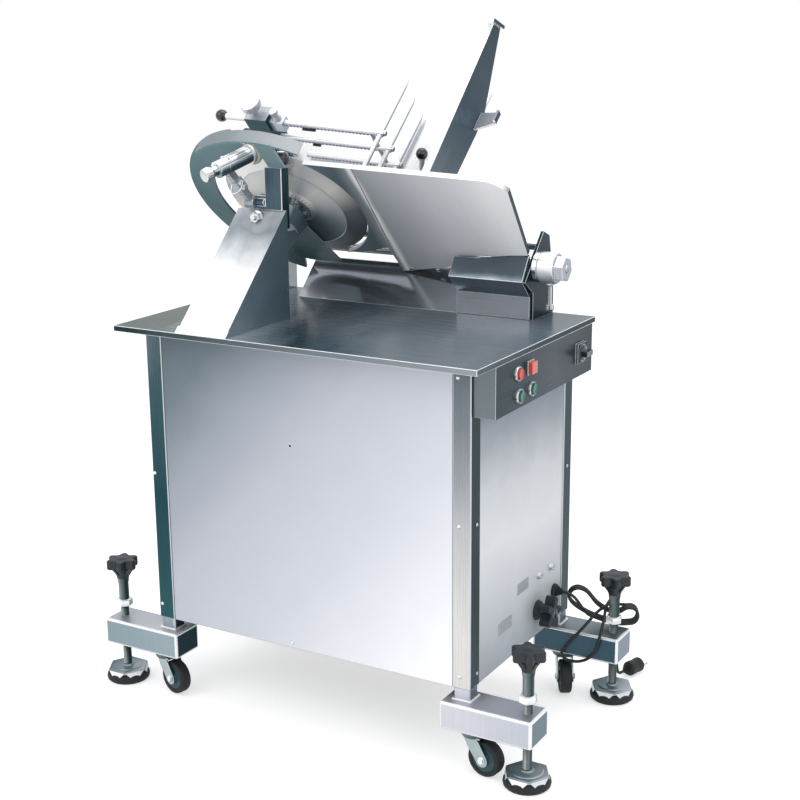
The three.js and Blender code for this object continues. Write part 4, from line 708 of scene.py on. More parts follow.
def make_caster(name, space, angle):
    centre = space(0, MIDDLE, 0)
    rolling = Vector((math.cos(angle), math.sin(angle), 0))
    axle = Vector((-math.sin(angle), math.cos(angle), 0))
    body = "caster_" + name
    race = Shape().lathe([(0, 79.5), (17, 79.5), (24, 80.5), (25.5, 82.5), (26.4, 86), (26.6, 92),
                          (24.5, 95.7), (0, 95.7)], centre, Z, 56, 0)
    race.make("caster_" + name + "_race", body, "zinc", [race_zinc], ["caster_fork_" + name], 0.4)
    fork_paint = round_metal("fork_" + name, machine.way(-0.5, -0.4, 0.7), [
        (0, "#12323a"), (0.4, "#1f474d"), (0.62, "#3b6f72"), (0.8, "#b9c2c4"), (1, "#ffffff")], 0.3, 0.8)
    hub = centre + rolling * 30 * MM + Z * 38.3 * MM
    fork = Shape()
    outline = [(-15, 84), (15, 84), (24, 74)]
    for degrees in range(35, -181, -18):
        turn = math.radians(degrees)
        outline.append((30 + 14 * math.cos(turn), 38.3 + 14 * math.sin(turn)))
    outline.append((-4, 62))
    for sign in (-1, 1):
        near = 15.4 if sign > 0 else -18.4
        fork.prism(outline, centre + axle * (near + 3) * MM, rolling, Z, 3, 0)
        head_start = hub + axle * sign * 18.3 * MM
        fork.lathe([(0, 0), (8.5, 0), (8.5, 0.8), (0, 0.8)], head_start, axle * sign, 32, 1)
        fork.hexagon(head_start, axle * sign, 13, 4, 1, 0.8)
    fork.box(Space(centre, Matrix((rolling, axle, Z)).transposed()), (-15, -18.4, 80.5), (26, 18.4, 84), 0)
    fork.rod(hub - axle * 18 * MM, hub + axle * 18 * MM, 4.8, 0.3, 16, 1)
    fork.make("caster_" + name + "_fork", body, "zinc", [fork_paint, chrome], edge=0.9)

    half = [(5.3, 15), (11.5, 15), (12.8, 13.8), (13.4, 11), (23.5, 9.6), (26, 10.4), (27.5, 12.6),
            (33.5, 13), (36.3, 11.2), (37.5, 7.5), (37.5, 0)]
    wheel = Shape()
    for sign in (-1, 1):
        wheel.lathe([(r, sign * h) for r, h in half[:6]], hub, axle, 64, 1)
        wheel.lathe([(r, sign * h) for r, h in half[5:]], hub, axle, 64, 0)
    wheel.make("wheel_" + name, "wheel_" + name, "black_rubber", [tyre_rubber, wheel_disc],
               ["caster_wheel_" + name], sharp=50)


# Cabinet, worktop and control box
BUTTONS = (("stop_button", 101, 806, red_cap), ("blade_start_button", 107, 761, green_cap),
           ("carriage_start_button", 163, 763, green_cap))


def make_cabinet():
    top_left, bottom_right = machine(-733, 2, 847), machine(-40, 2, 180)
    # Dark at the top left to near white at the bottom right: painted shadow under the worktop's lip and
    # painted light.
    front = sheet_metal("front_sheet", top_left, bottom_right, [
        (0, "#5f6c75"), (0.13, "#717d86"), (0.26, "#98a0aa"), (0.42, "#b8bbc5"), (0.65, "#cacdd5"),
        (0.85, "#e3e5ea"), (1, "#f6f7f9")], brush=BRUSH_Z, cloud=0.05, rough=0.5, metal=0.25, tone=0.015)
    dressed("front_panel", [front, edge_dark], 0.8)
    high, low = machine(-2, 240, 760), machine(-2, 200, 180)
    # Dark at the top, pale in the middle, greyer at the bottom: painted shadow under the worktop's lip and
    # painted light.
    right = sheet_metal("right_sheet", high, low, [
        (0, "#868f99"), (0.15, "#a0a7b1"), (0.35, "#d2d5da"), (0.55, "#e2e3e7"), (0.8, "#cbd0d6"),
        (1, "#a9b0b8")], brush=BRUSH_Z, cloud=0.12, rough=0.5, metal=0.25, tone=0.015)
    dressed("right_panel", [right, edge_dark], 0.8)
    # Darker towards the top: painted shadow under the worktop's lip.
    plain = sheet_metal("plain_sheet", high, low, [(0, "#a4abb4"), (1, "#ccd0d6")], brush=BRUSH_Z, cloud=0.2,
                        rough=0.5, metal=0.25, tone=0.015)
    for node in ("left_panel", "back_panel"):
        dressed(node, [plain, edge_dark], 0.8)
    # The bottom tray under the cabinet is near black: painted shade.
    dark = sheet_metal("tray_sheet", high, low, [(0, "#15191c"), (1, "#24292d")], metal=0.5)
    dressed("bottom_tray", [dark, edge_dark], 0.5)
    dressed("drive_motor", [motor_enamel, motor_enamel], 1.5)

    lip_left, lip_right = machine(TOP_LEFT, TOP_FRONT, LIP_MIDDLE), machine(TOP_RIGHT, TOP_FRONT, LIP_MIDDLE)
    near_left, far_right = machine(TOP_LEFT, TOP_FRONT, TOP_FACE), machine(TOP_RIGHT, 300, TOP_FACE)
    # The top runs through dark mirror tones with a pale band where the column is reflected: painted
    # reflection. The front lip and right lip runs are painted light and shade.
    top = sheet_metal("worktop_sheet", near_left, far_right, [
        (0, "#2e4643"), (0.14, "#3e5552"), (0.26, "#a4abb2"), (0.34, "#7f8b94"), (0.44, "#18303b"),
        (0.54, "#3c5260"), (0.66, "#6f7a83"), (0.82, "#7c868e"), (1, "#5a6a78")],
        [(-Y, lip_left, lip_right, [(0, "#1d3338"), (0.3, "#4a565c"), (0.6, "#6b767c"), (1, "#8a9297")]),
         (X, lip_right, machine(TOP_RIGHT, CABINET_DEPTH, LIP_MIDDLE), [(0, "#4f6066"), (0.5, "#23393f"),
                                                                        (1, "#16292f")])],
        brush=BRUSH_X, cloud=0.2, rough=0.24, metal=0.12, size=(90, 260, 70), tone=0.06, bump=0.05)
    dressed("worktop", [top, edge_highlight], 1.1)

    near, far = machine(47, 7, 790), machine(47, 461, 790)
    # Dark teal along the box with a paler front face: painted reflection and shade.
    shell = sheet_metal("box_sheet", near, far, [(0, "#22363e"), (0.3, "#33434c"), (0.6, "#464e58"),
                                                 (1, "#22323b")],
                        [(-Y, near, far, [(0, "#6b7479"), (1, "#6b7479")])],
                        brush=BRUSH_Y, cloud=0.2, rough=0.32, metal=0.5)
    dressed("control_box", [shell, edge_soft], 1.6)
    for index, (_, y, z, _) in enumerate(BUTTONS):
        Shape().lathe([(11.3, 0), (15.4, 0), (15.6, 1.2), (14.6, 4.4), (13.2, 5.2), (12, 5), (11.3, 3)],
                      machine(BOX_FACE, y, z), X, 48).make(f"bezel_{index}", "root", "chrome", [chrome],
                                                           edge=0.2)
    for node, y, z, paint in BUTTONS:
        cap = Shape().lathe([(0, 7.6), (6.5, 7.8), (9, 8.6), (10, 9), (10.7, 8.4), (11, 7), (11, 0), (0, 0)],
                            machine(CAP_FOOT, y, z), X, 48)
        cap.make(node + "_cap", body_of[node], slot_of[node], [paint], [node])
    lens = Shape().box(machine, (47.3, 143, 796), (58, 167, 820), 0)
    for row in range(-1, 2):
        lens.box(machine, (57, 145, 806.6 + row * 6), (58.6, 165, 809.4 + row * 6), 0)
    lens.make("pilot_lens", "root", "orange_plastic", [lamp_lens], ["pilot_lamp"], 1.6, segments=3)
    Shape().box(machine, (46.9, 140.5, 793.5), (50, 169.5, 822.5)).make(
        "pilot_bezel", "root", "chrome", [chrome], edge=1.2)
    plate = Shape().box(machine, (52, 376, 768), (53.6, 416, 808), 0)
    plate.lathe([(14, 0), (19, 0), (19, 1.2), (14, 1.2), (14, 0)], machine(53.5, *SWITCH), X, 48, 1)
    for i in range(8):
        angle = math.tau * i / 8
        plate.box(Space(machine(53.5, *SWITCH), Matrix.Rotation(angle, 3, "X")), (0, 15.8, -0.5),
                  (0.5, 18.2, 0.5), 1)
    plate.make("switch_plate", "root", "black_plastic", [black_matt, bare_plate], edge=0.4)
    turn = Shape().lathe([(0, 0), (17, 0), (17, 3), (15.5, 5), (13, 6), (0, 6)], machine(53.3, *SWITCH), X,
                         48, 0)
    turn.box(machine, (54, 380, 782.5), (70.5, 412, 793.5), 0)
    turn.box(machine, (70, 381.5, 787), (71.2, 392, 789), 1)
    turn.make("switch_handle", "switch", "black_plastic", [black_gloss, white_mark], ["switch_knob"], 1.2)


def make_panel_fittings():
    centre = machine(16, *HAND_KNOB)
    grip = Shape().prism(lobed(36, 5, 0.28, power=0.7), centre, Y, Z, 24, 0)
    grip.make("hand_grip", "hand_knob", "black_plastic", [knob_plastic], ["hand_knob"], 4.5, segments=4,
              sharp=50)
    hub = Shape().lathe([(22, 0), (20, 6), (14, 14), (13, 20)], machine(PANEL_FACE, *HAND_KNOB), X, 40, 0)
    hub.lathe([(0, 42.6), (10, 42.6), (12, 41.6), (13, 40)], machine(PANEL_FACE, *HAND_KNOB), X, 40, 1)
    hub.make("hand_hub", "hand_knob", "black_plastic", [black_matt, black_gloss])
    for node, y, z in (("fuse_holder_front", 318, 314), ("fuse_holder_rear", 378, 313)):
        fuse = Shape().lathe([(0, 0), (9, 0), (9, 1.6), (7, 2), (7, 7), (6, 8), (0, 8)],
                             machine(PANEL_FACE, y, z), X, 32, 0)
        fuse.box(machine, (5.8, y - 5, z - 0.7), (6.5, y + 5, z + 0.7), 1)
        fuse.make(node + "_cap", "root", "chrome", [chrome, hole_black], [node], 0.3)
    for index, (y, z, width, height) in enumerate(((241, 316, 52, 24), (157, 260, 60, 26))):
        plate = Shape().box(machine, (-2, y - width / 2, z - height / 2),
                            (-1.1, y + width / 2, z + height / 2), 0)
        for sy in (-1, 1):
            plate.lathe([(0, 0), (1.6, 0), (1, 0.9), (0, 1.1)], machine(-1.2, y + sy * (width / 2 - 4), z),
                        X, 16, 1)
        plate.make(f"plate_{index}", "root", "chrome", [bare_plate, soft_chrome], edge=0.3)
    screw_head("panel_screw", machine(-2, 245, 183), X, 3.5)
    corner = machine(0, 0, 0)
    for index, (px, py) in enumerate(((459.5, 677), (459, 527), (458, 378), (162.7, 603.5), (155, 473))):
        screw_head(f"front_screw_{index}", seen(px, py, corner, -Y), -Y, 4)
    for index, (px, py) in enumerate(((477, 673.5), (477, 525), (567, 466))):
        screw_head(f"side_screw_{index}", seen(px, py, corner, X), X, 4)
    sheet = machine(0, 2, 0)
    hole = seen(290, 446, sheet, -Y)
    Shape().lathe([(3, 0), (4.2, 0), (4.2, 0.5), (3, 0.5), (3, 0)], hole, -Y, 24, 0).lathe(
        [(0, 0.1), (3, 0.1), (3, 0), (0, 0)], hole, -Y, 24, 1).make(
        "front_hole", "root", "chrome", [soft_chrome, hole_black])
    screw_head("front_low_screw", seen(292.5, 643, sheet, -Y), -Y, 3.2)


# Tilted head
def make_column():
    low, high = machine(-573, -70, 850), machine(-573, 161, 1081)
    slope = machine.way(0, -1, 1)
    # Near white, with darker side faces and a grey band across the sloping face: painted shade on the sides
    # and a painted reflection on the slope.
    paint = sheet_metal("column_sheet", low, high, [(0, "#fbfcfd"), (1, "#dfe2e6")], [
        (slope, low, high, [(0, "#fdfefe"), (0.52, "#f8f9fa"), (0.66, "#c8ced2"), (0.8, "#9aa4ab"),
                            (0.92, "#c4cacf"), (1, "#e2e5e8")]),
        (X, machine(COLUMN_RIGHT, -40, 860), machine(COLUMN_RIGHT, 170, 1000), [(0, "#8496a1"),
            (0.35, "#6c808c"), (0.7, "#5a6f7a"), (1, "#5a6d77")]),
        (-X, low, high, [(0, "#aab3b9"), (1, "#6b7a82")])],
        brush=(60, 60, 60), cloud=0.3, rough=0.35, metal=0.45, size=(45, 60, 60), tone=0.02)
    dressed("column", [paint, edge_highlight], 1.6)


def make_housing():
    left, right = machine(COLUMN_RIGHT, 420, 870), machine(-226, 420, 870)
    slope = machine.way(0, -1, 1)
    # Dark teal with light and dark bands across the sloping face: painted reflections. The front runs from
    # pale at the bottom to dark at the top, and the underside is painted lighter to make up for the shade
    # under the ledge.
    paint = sheet_metal("chute_sheet", left, right, [(0, "#33474c"), (0.5, "#22383d"), (1, "#5a696f")], [
        (slope, left, right, [(0, "#6a777c"), (0.25, "#16282d"), (0.45, "#33474c"), (0.55, "#14262b"),
                              (0.8, "#66747a"), (1, "#22393e")]),
        (-Y, machine(0, 372, 850), machine(0, 345, 950), [(0, "#c0c2ca"), (0.5, "#b0b3bb"), (0.7, "#949da4"),
                                                          (1, "#5c6870")]),
        (-Z, left, right, [(0, "#8d989f"), (1, "#9aa4aa")])],
        brush=BRUSH_X, cloud=0.7, rough=0.14, metal=0.9, size=(60, 50, 50), tone=0.03, bump=0.04)
    dressed("rear_housing", [paint, edge_highlight], 1.0)
    # Dark teal on the right-facing end plate: painted shade and dark reflection.
    plate = sheet_metal("end_sheet", machine(-50, 340, 930), machine(-50, 470, 1030), [
        (0, "#112a33"), (0.6, "#162f39"), (1, "#274049")], cloud=0.3, rough=0.3, metal=0.3, size=(50, 50, 50))
    dressed("end_plate", [plate, edge_highlight], 1.0)
    dressed("guide_rails", [chrome, edge_soft], 0.5)
    # The right face is darker than the front: painted shade.
    steel = sheet_metal("arm_sheet", machine(-540, 150, 1165), machine(-540, 150, 1040), [
        (0, "#546471"), (0.5, "#4a5e6a"), (1, "#405764")],
        [(X, machine(-518, 150, 1165), machine(-518, 178, 1050), [(0, "#38525b"), (1, "#1b363e")])],
        cloud=0.25, rough=0.3, metal=0.6, brush=BRUSH_Z)
    dressed("guard_arm", [steel, edge_highlight], 1.4)


def make_guard():
    low, high = head(-800, 0, 118), head(-500, 0, 365)
    front = head.way(0, -1, 0)
    # Dark teal low on the left to pale high on the right, on the front as well: painted shade, light and
    # reflection.
    paint = sheet_metal("guard_sheet", low, high, [(0, "#4d6166"), (0.4, "#6c7980"), (0.7, "#858f96"),
                                                   (1, "#a4a9ad")], [
        (front, low, high, [(0, "#4a656a"), (0.4, "#5d7a80"), (0.75, "#6c888d"), (1, "#7f979c")])],
        space=head, brush=(0.9, 0.9, 140), cloud=0.3, rough=0.35, metal=0.25, size=(70, 70, 70))
    dressed("blade_guard", [paint, edge_highlight], 1.2)
    # Darker low down, paler high up: painted shade towards the blade and painted light.
    back = sheet_metal("deflector_sheet", head(-640, 0, -40), head(-500, 0, 160), [
        (0, "#41595e"), (0.5, "#788a8f"), (1, "#a6aeb3")], space=head, cloud=0.5, rough=0.3, metal=0.25)
    dressed("slice_deflector", [back, edge_soft], 0.6)


def make_gauge_plate():
    left, right = head(-500, 0, 100), head(-36, 0, 100)
    front = head.way(0, -1, 0)
    # The front carries painted reflections: dark mirror tones on the left, a thin bright painted highlight,
    # then pale towards the right. The top face is painted light and the other faces dark teal, painted shade.
    stops = [(0, "#6a747b"), (0.1, "#5f6d74"), (0.18, "#57666d"), (0.235, "#8b9398"), (0.262, "#f6f5f3"),
             (0.29, "#a2a7ac"), (0.42, "#b8bbc0"), (0.6, "#d2d3d7"), (0.75, "#dedfe2"), (0.9, "#f4f4f5"),
             (1, "#f6f6f7")]
    paint = sheet_metal("gauge_sheet", left, right, [(0, "#1c343c"), (1, "#24404a")], [
        (front, head(-500, 0, 100), head(-36, 0, 100), stops),
        (head.way(0, 0, 1), left, right, [(0, "#eef0f2"), (1, "#ffffff")])],
        space=head, brush=(0.7, 0.7, 220), cloud=0.05, rough=0.42, metal=0.08, size=(60, 60, 160), tone=0.05)
    dressed("gauge_plate", [paint, edge_highlight], 1.2)
    for index, (px, py) in enumerate(((411.6, 269), (438.4, 270.6))):
        point = seen(px, py, head(0, 0, 0), front)
        Shape().lathe([(0, 0.2), (3.4, 0.2), (3.6, 0.5), (5.4, 0.8), (5.8, 0)], point, front, 32, 0).lathe(
            [(0, 0.3), (2.2, 0.3), (2.2, 0)], point, front, 6, 1).make(
            f"gauge_screw_{index}", "gauge", "chrome", [soft_chrome, hole_black])


BLADE_CENTRE = (-578, 118)


def make_blade():
    x, u = BLADE_CENTRE
    centre = head(x, 0, u)
    way = head.way(0, 1, 0)
    paint = Paint("blade_steel", 0.36, 0.1, specular=0.3)
    inputs = {"Vector": paint.place, "Location": centre, "Rotation": head.turn.to_euler(),
              "Scale": Vector((MM, MM, MM))}
    local = paint.node("ShaderNodeMapping", inputs, vector_type="TEXTURE").outputs[0]
    flat = paint.node("ShaderNodeVectorMath", {0: local, 1: Vector((1, 0, 1))},
                      operation="MULTIPLY").outputs[0]
    radius = paint.node("ShaderNodeVectorMath", {0: flat}, operation="LENGTH").outputs["Value"]
    out = paint.node("ShaderNodeVectorMath", {0: flat}, operation="NORMALIZE").outputs[0]
    # Colour by the direction from the hub: painted reflections in bright and dark sectors across the disc,
    # with a ramp of their own on the bevel ring. The noise rings are grinding marks.
    inputs = {0: out, 1: Vector((-0.35, 0, 0.94))}
    lit = paint.node("ShaderNodeVectorMath", inputs, operation="DOT_PRODUCT").outputs["Value"]
    value = paint.node("ShaderNodeMapRange", {0: lit, 1: -1.0, 2: 1.0}).outputs[0]
    colour = paint.ramp(value, [(0, "#55646a"), (0.12, "#7b878b"), (0.3, "#bcc0c2"), (0.48, "#ebebe8"),
                                (0.62, "#f6f5f0"), (0.78, "#c4c7c9"), (0.9, "#efede8"), (1, "#f8f7f4")])
    share = paint.node("ShaderNodeMapRange", {0: radius, 1: 121.0, 2: 124.0}).outputs[0]
    bevel_colour = paint.ramp(value, [(0, "#22333a"), (0.3, "#6a7075"), (0.55, "#d8d6d0"), (0.8, "#b4b6b8"),
                                      (1, "#fbfaf7")])
    colour = paint.mix(share, colour, bevel_colour)
    rings = paint.node("ShaderNodeTexNoise", {"W": paint.math("MULTIPLY", radius, 1.4), "Scale": 1.0,
                                              "Detail": 4.0},
                       noise_dimensions="1D").outputs[0]
    tone = paint.node("ShaderNodeMapRange", {0: rings, 1: 0.2, 2: 0.8, 3: 0.93, 4: 1.07}).outputs[0]
    colour = paint.mix(1.0, colour, tone, "MULTIPLY")
    raised = paint.node("ShaderNodeBump", {"Strength": 0.12, "Distance": 0.05 * MM, "Height": rings})
    paint.tree.links.new(raised.outputs[0], paint.shader.inputs["Normal"])
    steel = paint.done(colour)

    disc = Shape()
    disc.lathe([(40, -5), (52, 1), (103, 1), (121.5, -2.6)], centre, way, 160, 0)
    disc.lathe([(121.5, -2.6), (122.6, -3.2), (123.8, -2.9)], centre, way, 160, 1)
    disc.lathe([(123.8, -2.9), (163.8, 10.6), (165, 11.2), (165, 12), (123, 11.4), (103, 8), (0, 8)],
               centre, way, 160, 0)
    disc.lathe([(0, -5), (36, -5), (38.5, -6), (40, -5)], centre, way, 96, 2)
    disc.lathe([(14, -5), (14, -39), (0, -39)], centre, way, 32, 2)
    for i in range(4):
        angle = math.radians(45 + 90 * i)
        spot = head(x + 27 * math.cos(angle), -5, u + 27 * math.sin(angle))
        disc.hexagon(spot, -way, 9, 3, 2, 0.6)
    disc.make("blade_disc", "blade", "brushed_steel", [steel, edge_highlight, chrome], ["blade"], sharp=24)


def make_sharpener():
    aim = Vector((0.25, 0.92, 0.29)).normalized()
    stone_front = head(-575, -14, 313) - aim * 7.5 * MM
    stone = Shape().lathe([(6.5, 0), (10, 0), (24.2, 0), (25, 0.8), (25, 7), (21.5, 14.4), (20.6, 15),
                           (6.5, 15), (6.5, 0)], stone_front, aim, 56, 0)
    stone.lathe([(6.5, -0.2), (14, -0.2), (14, 0.2), (6.5, 0.2)], stone_front, aim, 32, 1)
    stone.make("stone_ring", "stone", "stone", [stone_grit, chrome], ["grinding_stone"], 0.5)

    barrel_paint = round_metal("barrel_chrome", machine.way(-0.5, -0.25, 0.82), [
        (0, "#163138"), (0.25, "#3c545b"), (0.36, "#98a1a5"), (0.44, "#dde1e3"), (0.5, "#54656c"),
        (0.55, "#e9ebec"), (0.6, "#8a959b"), (0.64, "#fafbfb"), (1, "#ffffff")], 0.16, 0.5)
    ring_start = stone_front - aim * 7.3 * MM
    body_start = ring_start - aim * 86 * MM
    neck_start = body_start - aim * 14 * MM
    knob_start = neck_start - aim * 20 * MM
    shape = Shape()
    shape.lathe([(17, 0), (20.4, 0), (21, 0.7), (21, 6.2), (20.4, 6.9), (0, 6.9)], ring_start, aim, 56, 2)
    shape.lathe([(11, -2), (16.6, -1.2), (17.5, 0), (17.5, 20), (16.9, 20.6), (16.9, 22), (17.5, 22.6),
                 (17.5, 84),
                 (17.5, 87)], body_start, aim, 56, 0)
    shape.lathe([(13, -1), (11, 0), (10.2, 3), (10.2, 10), (11, 14)], neck_start, aim, 40, 0)
    shape.lathe([(0, 0.8), (10.5, 0.4), (12.6, 0), (13.8, 1.2), (14, 4), (14, 15), (13, 18), (10.4, 20)],
                knob_start, aim, 48, 1)
    for i in range(18):
        angle = math.tau * i / 18
        side = aim.orthogonal().normalized()
        out = side * math.cos(angle) + aim.cross(side) * math.sin(angle)
        spot = knob_start + out * 13.7 * MM
        shape.rod(spot + aim * 3.5 * MM, spot + aim * 15 * MM, 0.9, 0.3, 8, 1)
    shape.lathe([(6, 0), (6, 20), (5, 22), (0, 22)], stone_front, aim, 24, 0)
    pin = machine(-594, 150, 1092)
    mount = body_start + aim * ((machine(0, 62, 0).y - body_start.y) / aim.y)
    mount.x = pin.x
    way = mount - pin
    length = way.length / MM
    frame_turn = Matrix((X, way.normalized(), X.cross(way.normalized()))).transposed()
    link_space = Space(pin, frame_turn)
    shape.box(link_space, (-6, 0, -8), (6, length, 8), 3)
    shape.box(link_space, (-9, length * 0.35, -10.5), (9, length * 0.62, 10.5), 3)
    shape.lathe([(7.4, -12), (13, -12), (14, -11), (14, 11), (13, 12), (7.4, 12)], pin, X, 40, 3)
    for reach in (0.42, 0.55):
        shape.hexagon(link_space(9, length * reach, 0), X, 12, 5, 2)
        shape.hexagon(link_space(-9, length * reach, 0), -X, 12, 5, 2)
    steel = sheet_metal("link_sheet", pin, mount, [(0, "#8f979c"), (0.5, "#c9ccd0"), (1, "#7b868c")],
                        cloud=0.5,
                        rough=0.3, metal=0.7, size=(20, 20, 20))
    shape.make("sharpener_barrel", "sharpener", "chrome", [barrel_paint, soft_chrome, white_metal, steel],
               ["sharpener"], 0.5)

    trim = Shape()
    side = aim.cross(Z).normalized()
    for offset in (-9, 9):
        foot = ring_start - aim * 62 * MM + (Z * 15 + side * offset) * MM
        trim.rod(foot, foot + aim * 56 * MM, 2.3, 0.5, 16, 0)
        trim.hexagon(foot - aim * 3 * MM, aim, 8, 4, 0, 0.6)
    trim.make("sharpener_rods", "sharpener", "chrome", [soft_chrome])

    wire = [(-9, 100, 1148), (-9, 92, 1128), (-4, 84, 1116), (6, 84, 1116), (14, 90, 1124), (14, 100, 1140)]
    route = smooth_route([pin + Vector((x + 2, y - 150, z - 1092)) * MM for x, y, z in wire])
    loop = Shape()
    for a, b in zip(route, route[1:]):
        loop.rod(a, b + (b - a) * 0.15, 1.7, 0.1, 10)
    loop.make("sharpener_loop", "sharpener", "chrome", [white_metal])


def make_arm_fittings():
    base = machine(-526, 164.5, 1170.6)
    grip = Shape().lathe([(0, 0), (9, 0), (12, 1.5), (14, 5), (14, 20), (12.6, 23.6), (9, 25.6), (7, 26),
                          (0, 26)], base, Z, 48, 0)
    for i in range(12):
        angle = math.tau * i / 12
        spot = base + Vector((math.cos(angle), math.sin(angle), 0)) * 13.3 * MM
        grip.rod(spot + Z * 5 * MM, spot + Z * 20 * MM, 1.5, 0.6, 10, 0)
    grip.lathe([(7.4, 24), (8.6, 24.6), (8.6, 26.2), (7.6, 27), (0, 27)], base, Z, 40, 1)
    grip.make("guard_grip", "guard_knob", "black_plastic", [black_gloss, chrome], ["guard_knob"])
    nut = Shape().hexagon(machine(-574, 140, 1062), -Y, 22, 12, 0, 2)
    nut.lathe([(0, 0), (14, 0), (14, 1.4), (0, 1.4)], machine(-574, 141, 1062), -Y, 32, 0)
    nut.lathe([(0, 12), (6, 12), (5.4, 17), (0, 17.4)], machine(-574, 140, 1062), -Y, 24, 0)
    nut.make("arm_nut", "root", "chrome", [chrome])


# Hopper: tray, wall, fence and lever
def make_hopper():
    left, right = hopper(-420, 200, -104), hopper(67, 200, -104)
    # Near white, with the front faces darker towards the left: painted shade.
    pale = sheet_metal("tray_steel", left, right, LIGHT_RUN, [
        (hopper.way(0, 0, 1), left, right, [(0, "#f4f5f6"), (0.5, "#f8f9fa"), (1, "#eceef0")]),
        (hopper.way(0, -1, 0), left, right, [(0, "#9aa2a8"), (0.5, "#d0d3d7"), (1, "#f2f3f5")])],
        space=hopper, brush=(0.9, 200, 0.9), cloud=0.15, rough=0.32, metal=0.5, tone=0.03)
    dressed("carriage_tray", [pale, edge_soft], 1.2)
    low, high = hopper(74, 90, -60), hopper(74, 500, -20)
    # The wall's face towards +x is dark teal and its underside dark: painted shade and dark reflection.
    shaded_side = [(0, "#66727b"), (0.25, "#42555f"), (0.5, "#2c4150"), (0.72, "#334855"), (1, "#2a3d48")]
    fin = sheet_metal("wall_sheet", low, high, [(0, "#f4f6f7"), (1, "#ffffff")], [
        (hopper.way(1, 0, 0), low, high, shaded_side), (hopper.way(-1, 0, 0), low, high, [(0, "#e9ebee"),
                                                                                    (1, "#f7f8f9")]),
        (hopper.way(0, 0, -1), low, high, [(0, "#1c3640"), (1, "#24424d")])],
        space=hopper, brush=(0.9, 0.9, 120), cloud=0.25, rough=0.3, metal=0.6, size=(50, 120, 30))
    dressed("carriage_wall", [fin, edge_soft], 1.2)

    # Dark teal with a pale top face: painted shade and reflection, with painted light on the top.
    bracket = sheet_metal("bracket_steel", hopper(-404, 168, 36), hopper(-346, 168, -104), [
        (0, "#20424a"), (1, "#17333a")], [(hopper.way(0, 0, 1), left, right, [(0, "#c9ced1"),
                                                                              (1, "#e9ebec")])],
        space=hopper, cloud=0.3, rough=0.3, metal=0.7)
    dressed("fence_bracket", [bracket, edge_soft], 2.2)
    up = hopper.way(0, 0, 1)
    knob = Shape().lathe([(8, 0), (8, 14), (13, 16)], hopper(-382, 168, 36.3), up, 32, 0)
    knob.lathe([(10, 14.5), (18, 15.5), (21.2, 18), (22, 21), (22, 31), (21, 34), (17, 35.8), (0, 36)],
               hopper(-382, 168, 36.3), up, 64, 0)
    for i in range(24):
        angle = math.tau * i / 24
        spot = hopper(-382 + 21.6 * math.cos(angle), 168 + 21.6 * math.sin(angle), 36.3)
        knob.rod(spot + up * 20 * MM, spot + up * 32 * MM, 0.9, 0.4, 8, 0)
    knob.make("lock_grip", "fence_knob", "white_steel", [white_metal], ["fence_knob"])
    small = Shape().lathe([(12, 0), (11, 6), (7.5, 12), (7, 16), (9, 17), (9.6, 19), (9.6, 26), (8, 28),
                           (0, 28.4)], hopper(-330, 168, 22), up, 40, 0)
    small.box(hopper, (-348, 156, -6), (-312, 180, 23), 0)
    small.make("index_knob", "carriage", "chrome", [white_metal], edge=1.6)


RODS = ((13, -486), (-38, -440), (-92, -300))
FENCE_X = -67
ROD_S = 168


def make_fence():
    rods = Shape()
    across = hopper.way(1, 0, 0)
    along = hopper.way(0, 1, 0)
    for u, left in RODS:
        rods.rod(hopper(left, ROD_S, u), hopper(FENCE_X + 9, ROD_S, u), 7, 0.8, 40, 0)
        rods.rod(hopper(FENCE_X + 9, ROD_S, u), hopper(FENCE_X + 13, ROD_S, u), 5.5, 0.8, 32, 1)
        bar = [(0, 0), (5.2, 0), (5.6, 0.6), (5.6, 272), (4.2, 281), (1.2, 295), (0, 296)]
        rods.lathe(bar, hopper(FENCE_X, 24, u), along, 40, 0)
        rods.lathe([(5.6, 0), (8, 0.8), (8, 13), (5.6, 14)], hopper(FENCE_X, ROD_S - 7, u), along, 32, 0)
    rods.rod(hopper(-92, ROD_S, -92), hopper(-92, ROD_S, 13), 5, 0.5, 24, 0)
    rods.make("fence_rods", "fence", "chrome", [white_metal, soft_chrome], ["meat_fence"], sharp=40)

    teeth = Shape()
    for u, left in RODS:
        start = max(left, -330) + 14
        count = int((FENCE_X - 14 - start) / 9)
        for i in range(count):
            x = start + 9 * i
            teeth.box(hopper, (x, ROD_S - 7.6, u - 3.4), (x + 4.6, ROD_S - 5.2, u + 1.6), 0)
    shade = moulded("rack_shade", "#6f7484", "#9a9fae", 0.5, metal=0.3)
    teeth.make("fence_racks", "fence", "chrome", [shade], edge=0.3)

    ends = Shape()
    ball = hopper(-486, ROD_S, 13)
    ends.lathe([(0, -14), (6, -13.4), (10.4, -10), (13.4, -5), (14, 0), (13.4, 5), (10.4, 10), (7, 12.6),
                (7, 14)], ball, across, 48, 0)
    cap = hopper(-440, ROD_S, -38)
    ends.lathe([(0, -10), (7.5, -9), (9.8, -6), (10, 0), (8.4, 10), (7.2, 12)], cap, across, 40, 0)
    for (u, _), (x, length, drop) in zip(RODS, ((-268, 34, 8.5), (-262, 20, 8.5), (0, 0, 0))):
        if length:
            ends.box(hopper, (x, ROD_S - 9, u - drop - 2), (x + length, ROD_S + 2, u - drop + 2.6), 1)
    ends.make("fence_ends", "fence", "black_plastic", [black_gloss, black_matt], edge=0.8)


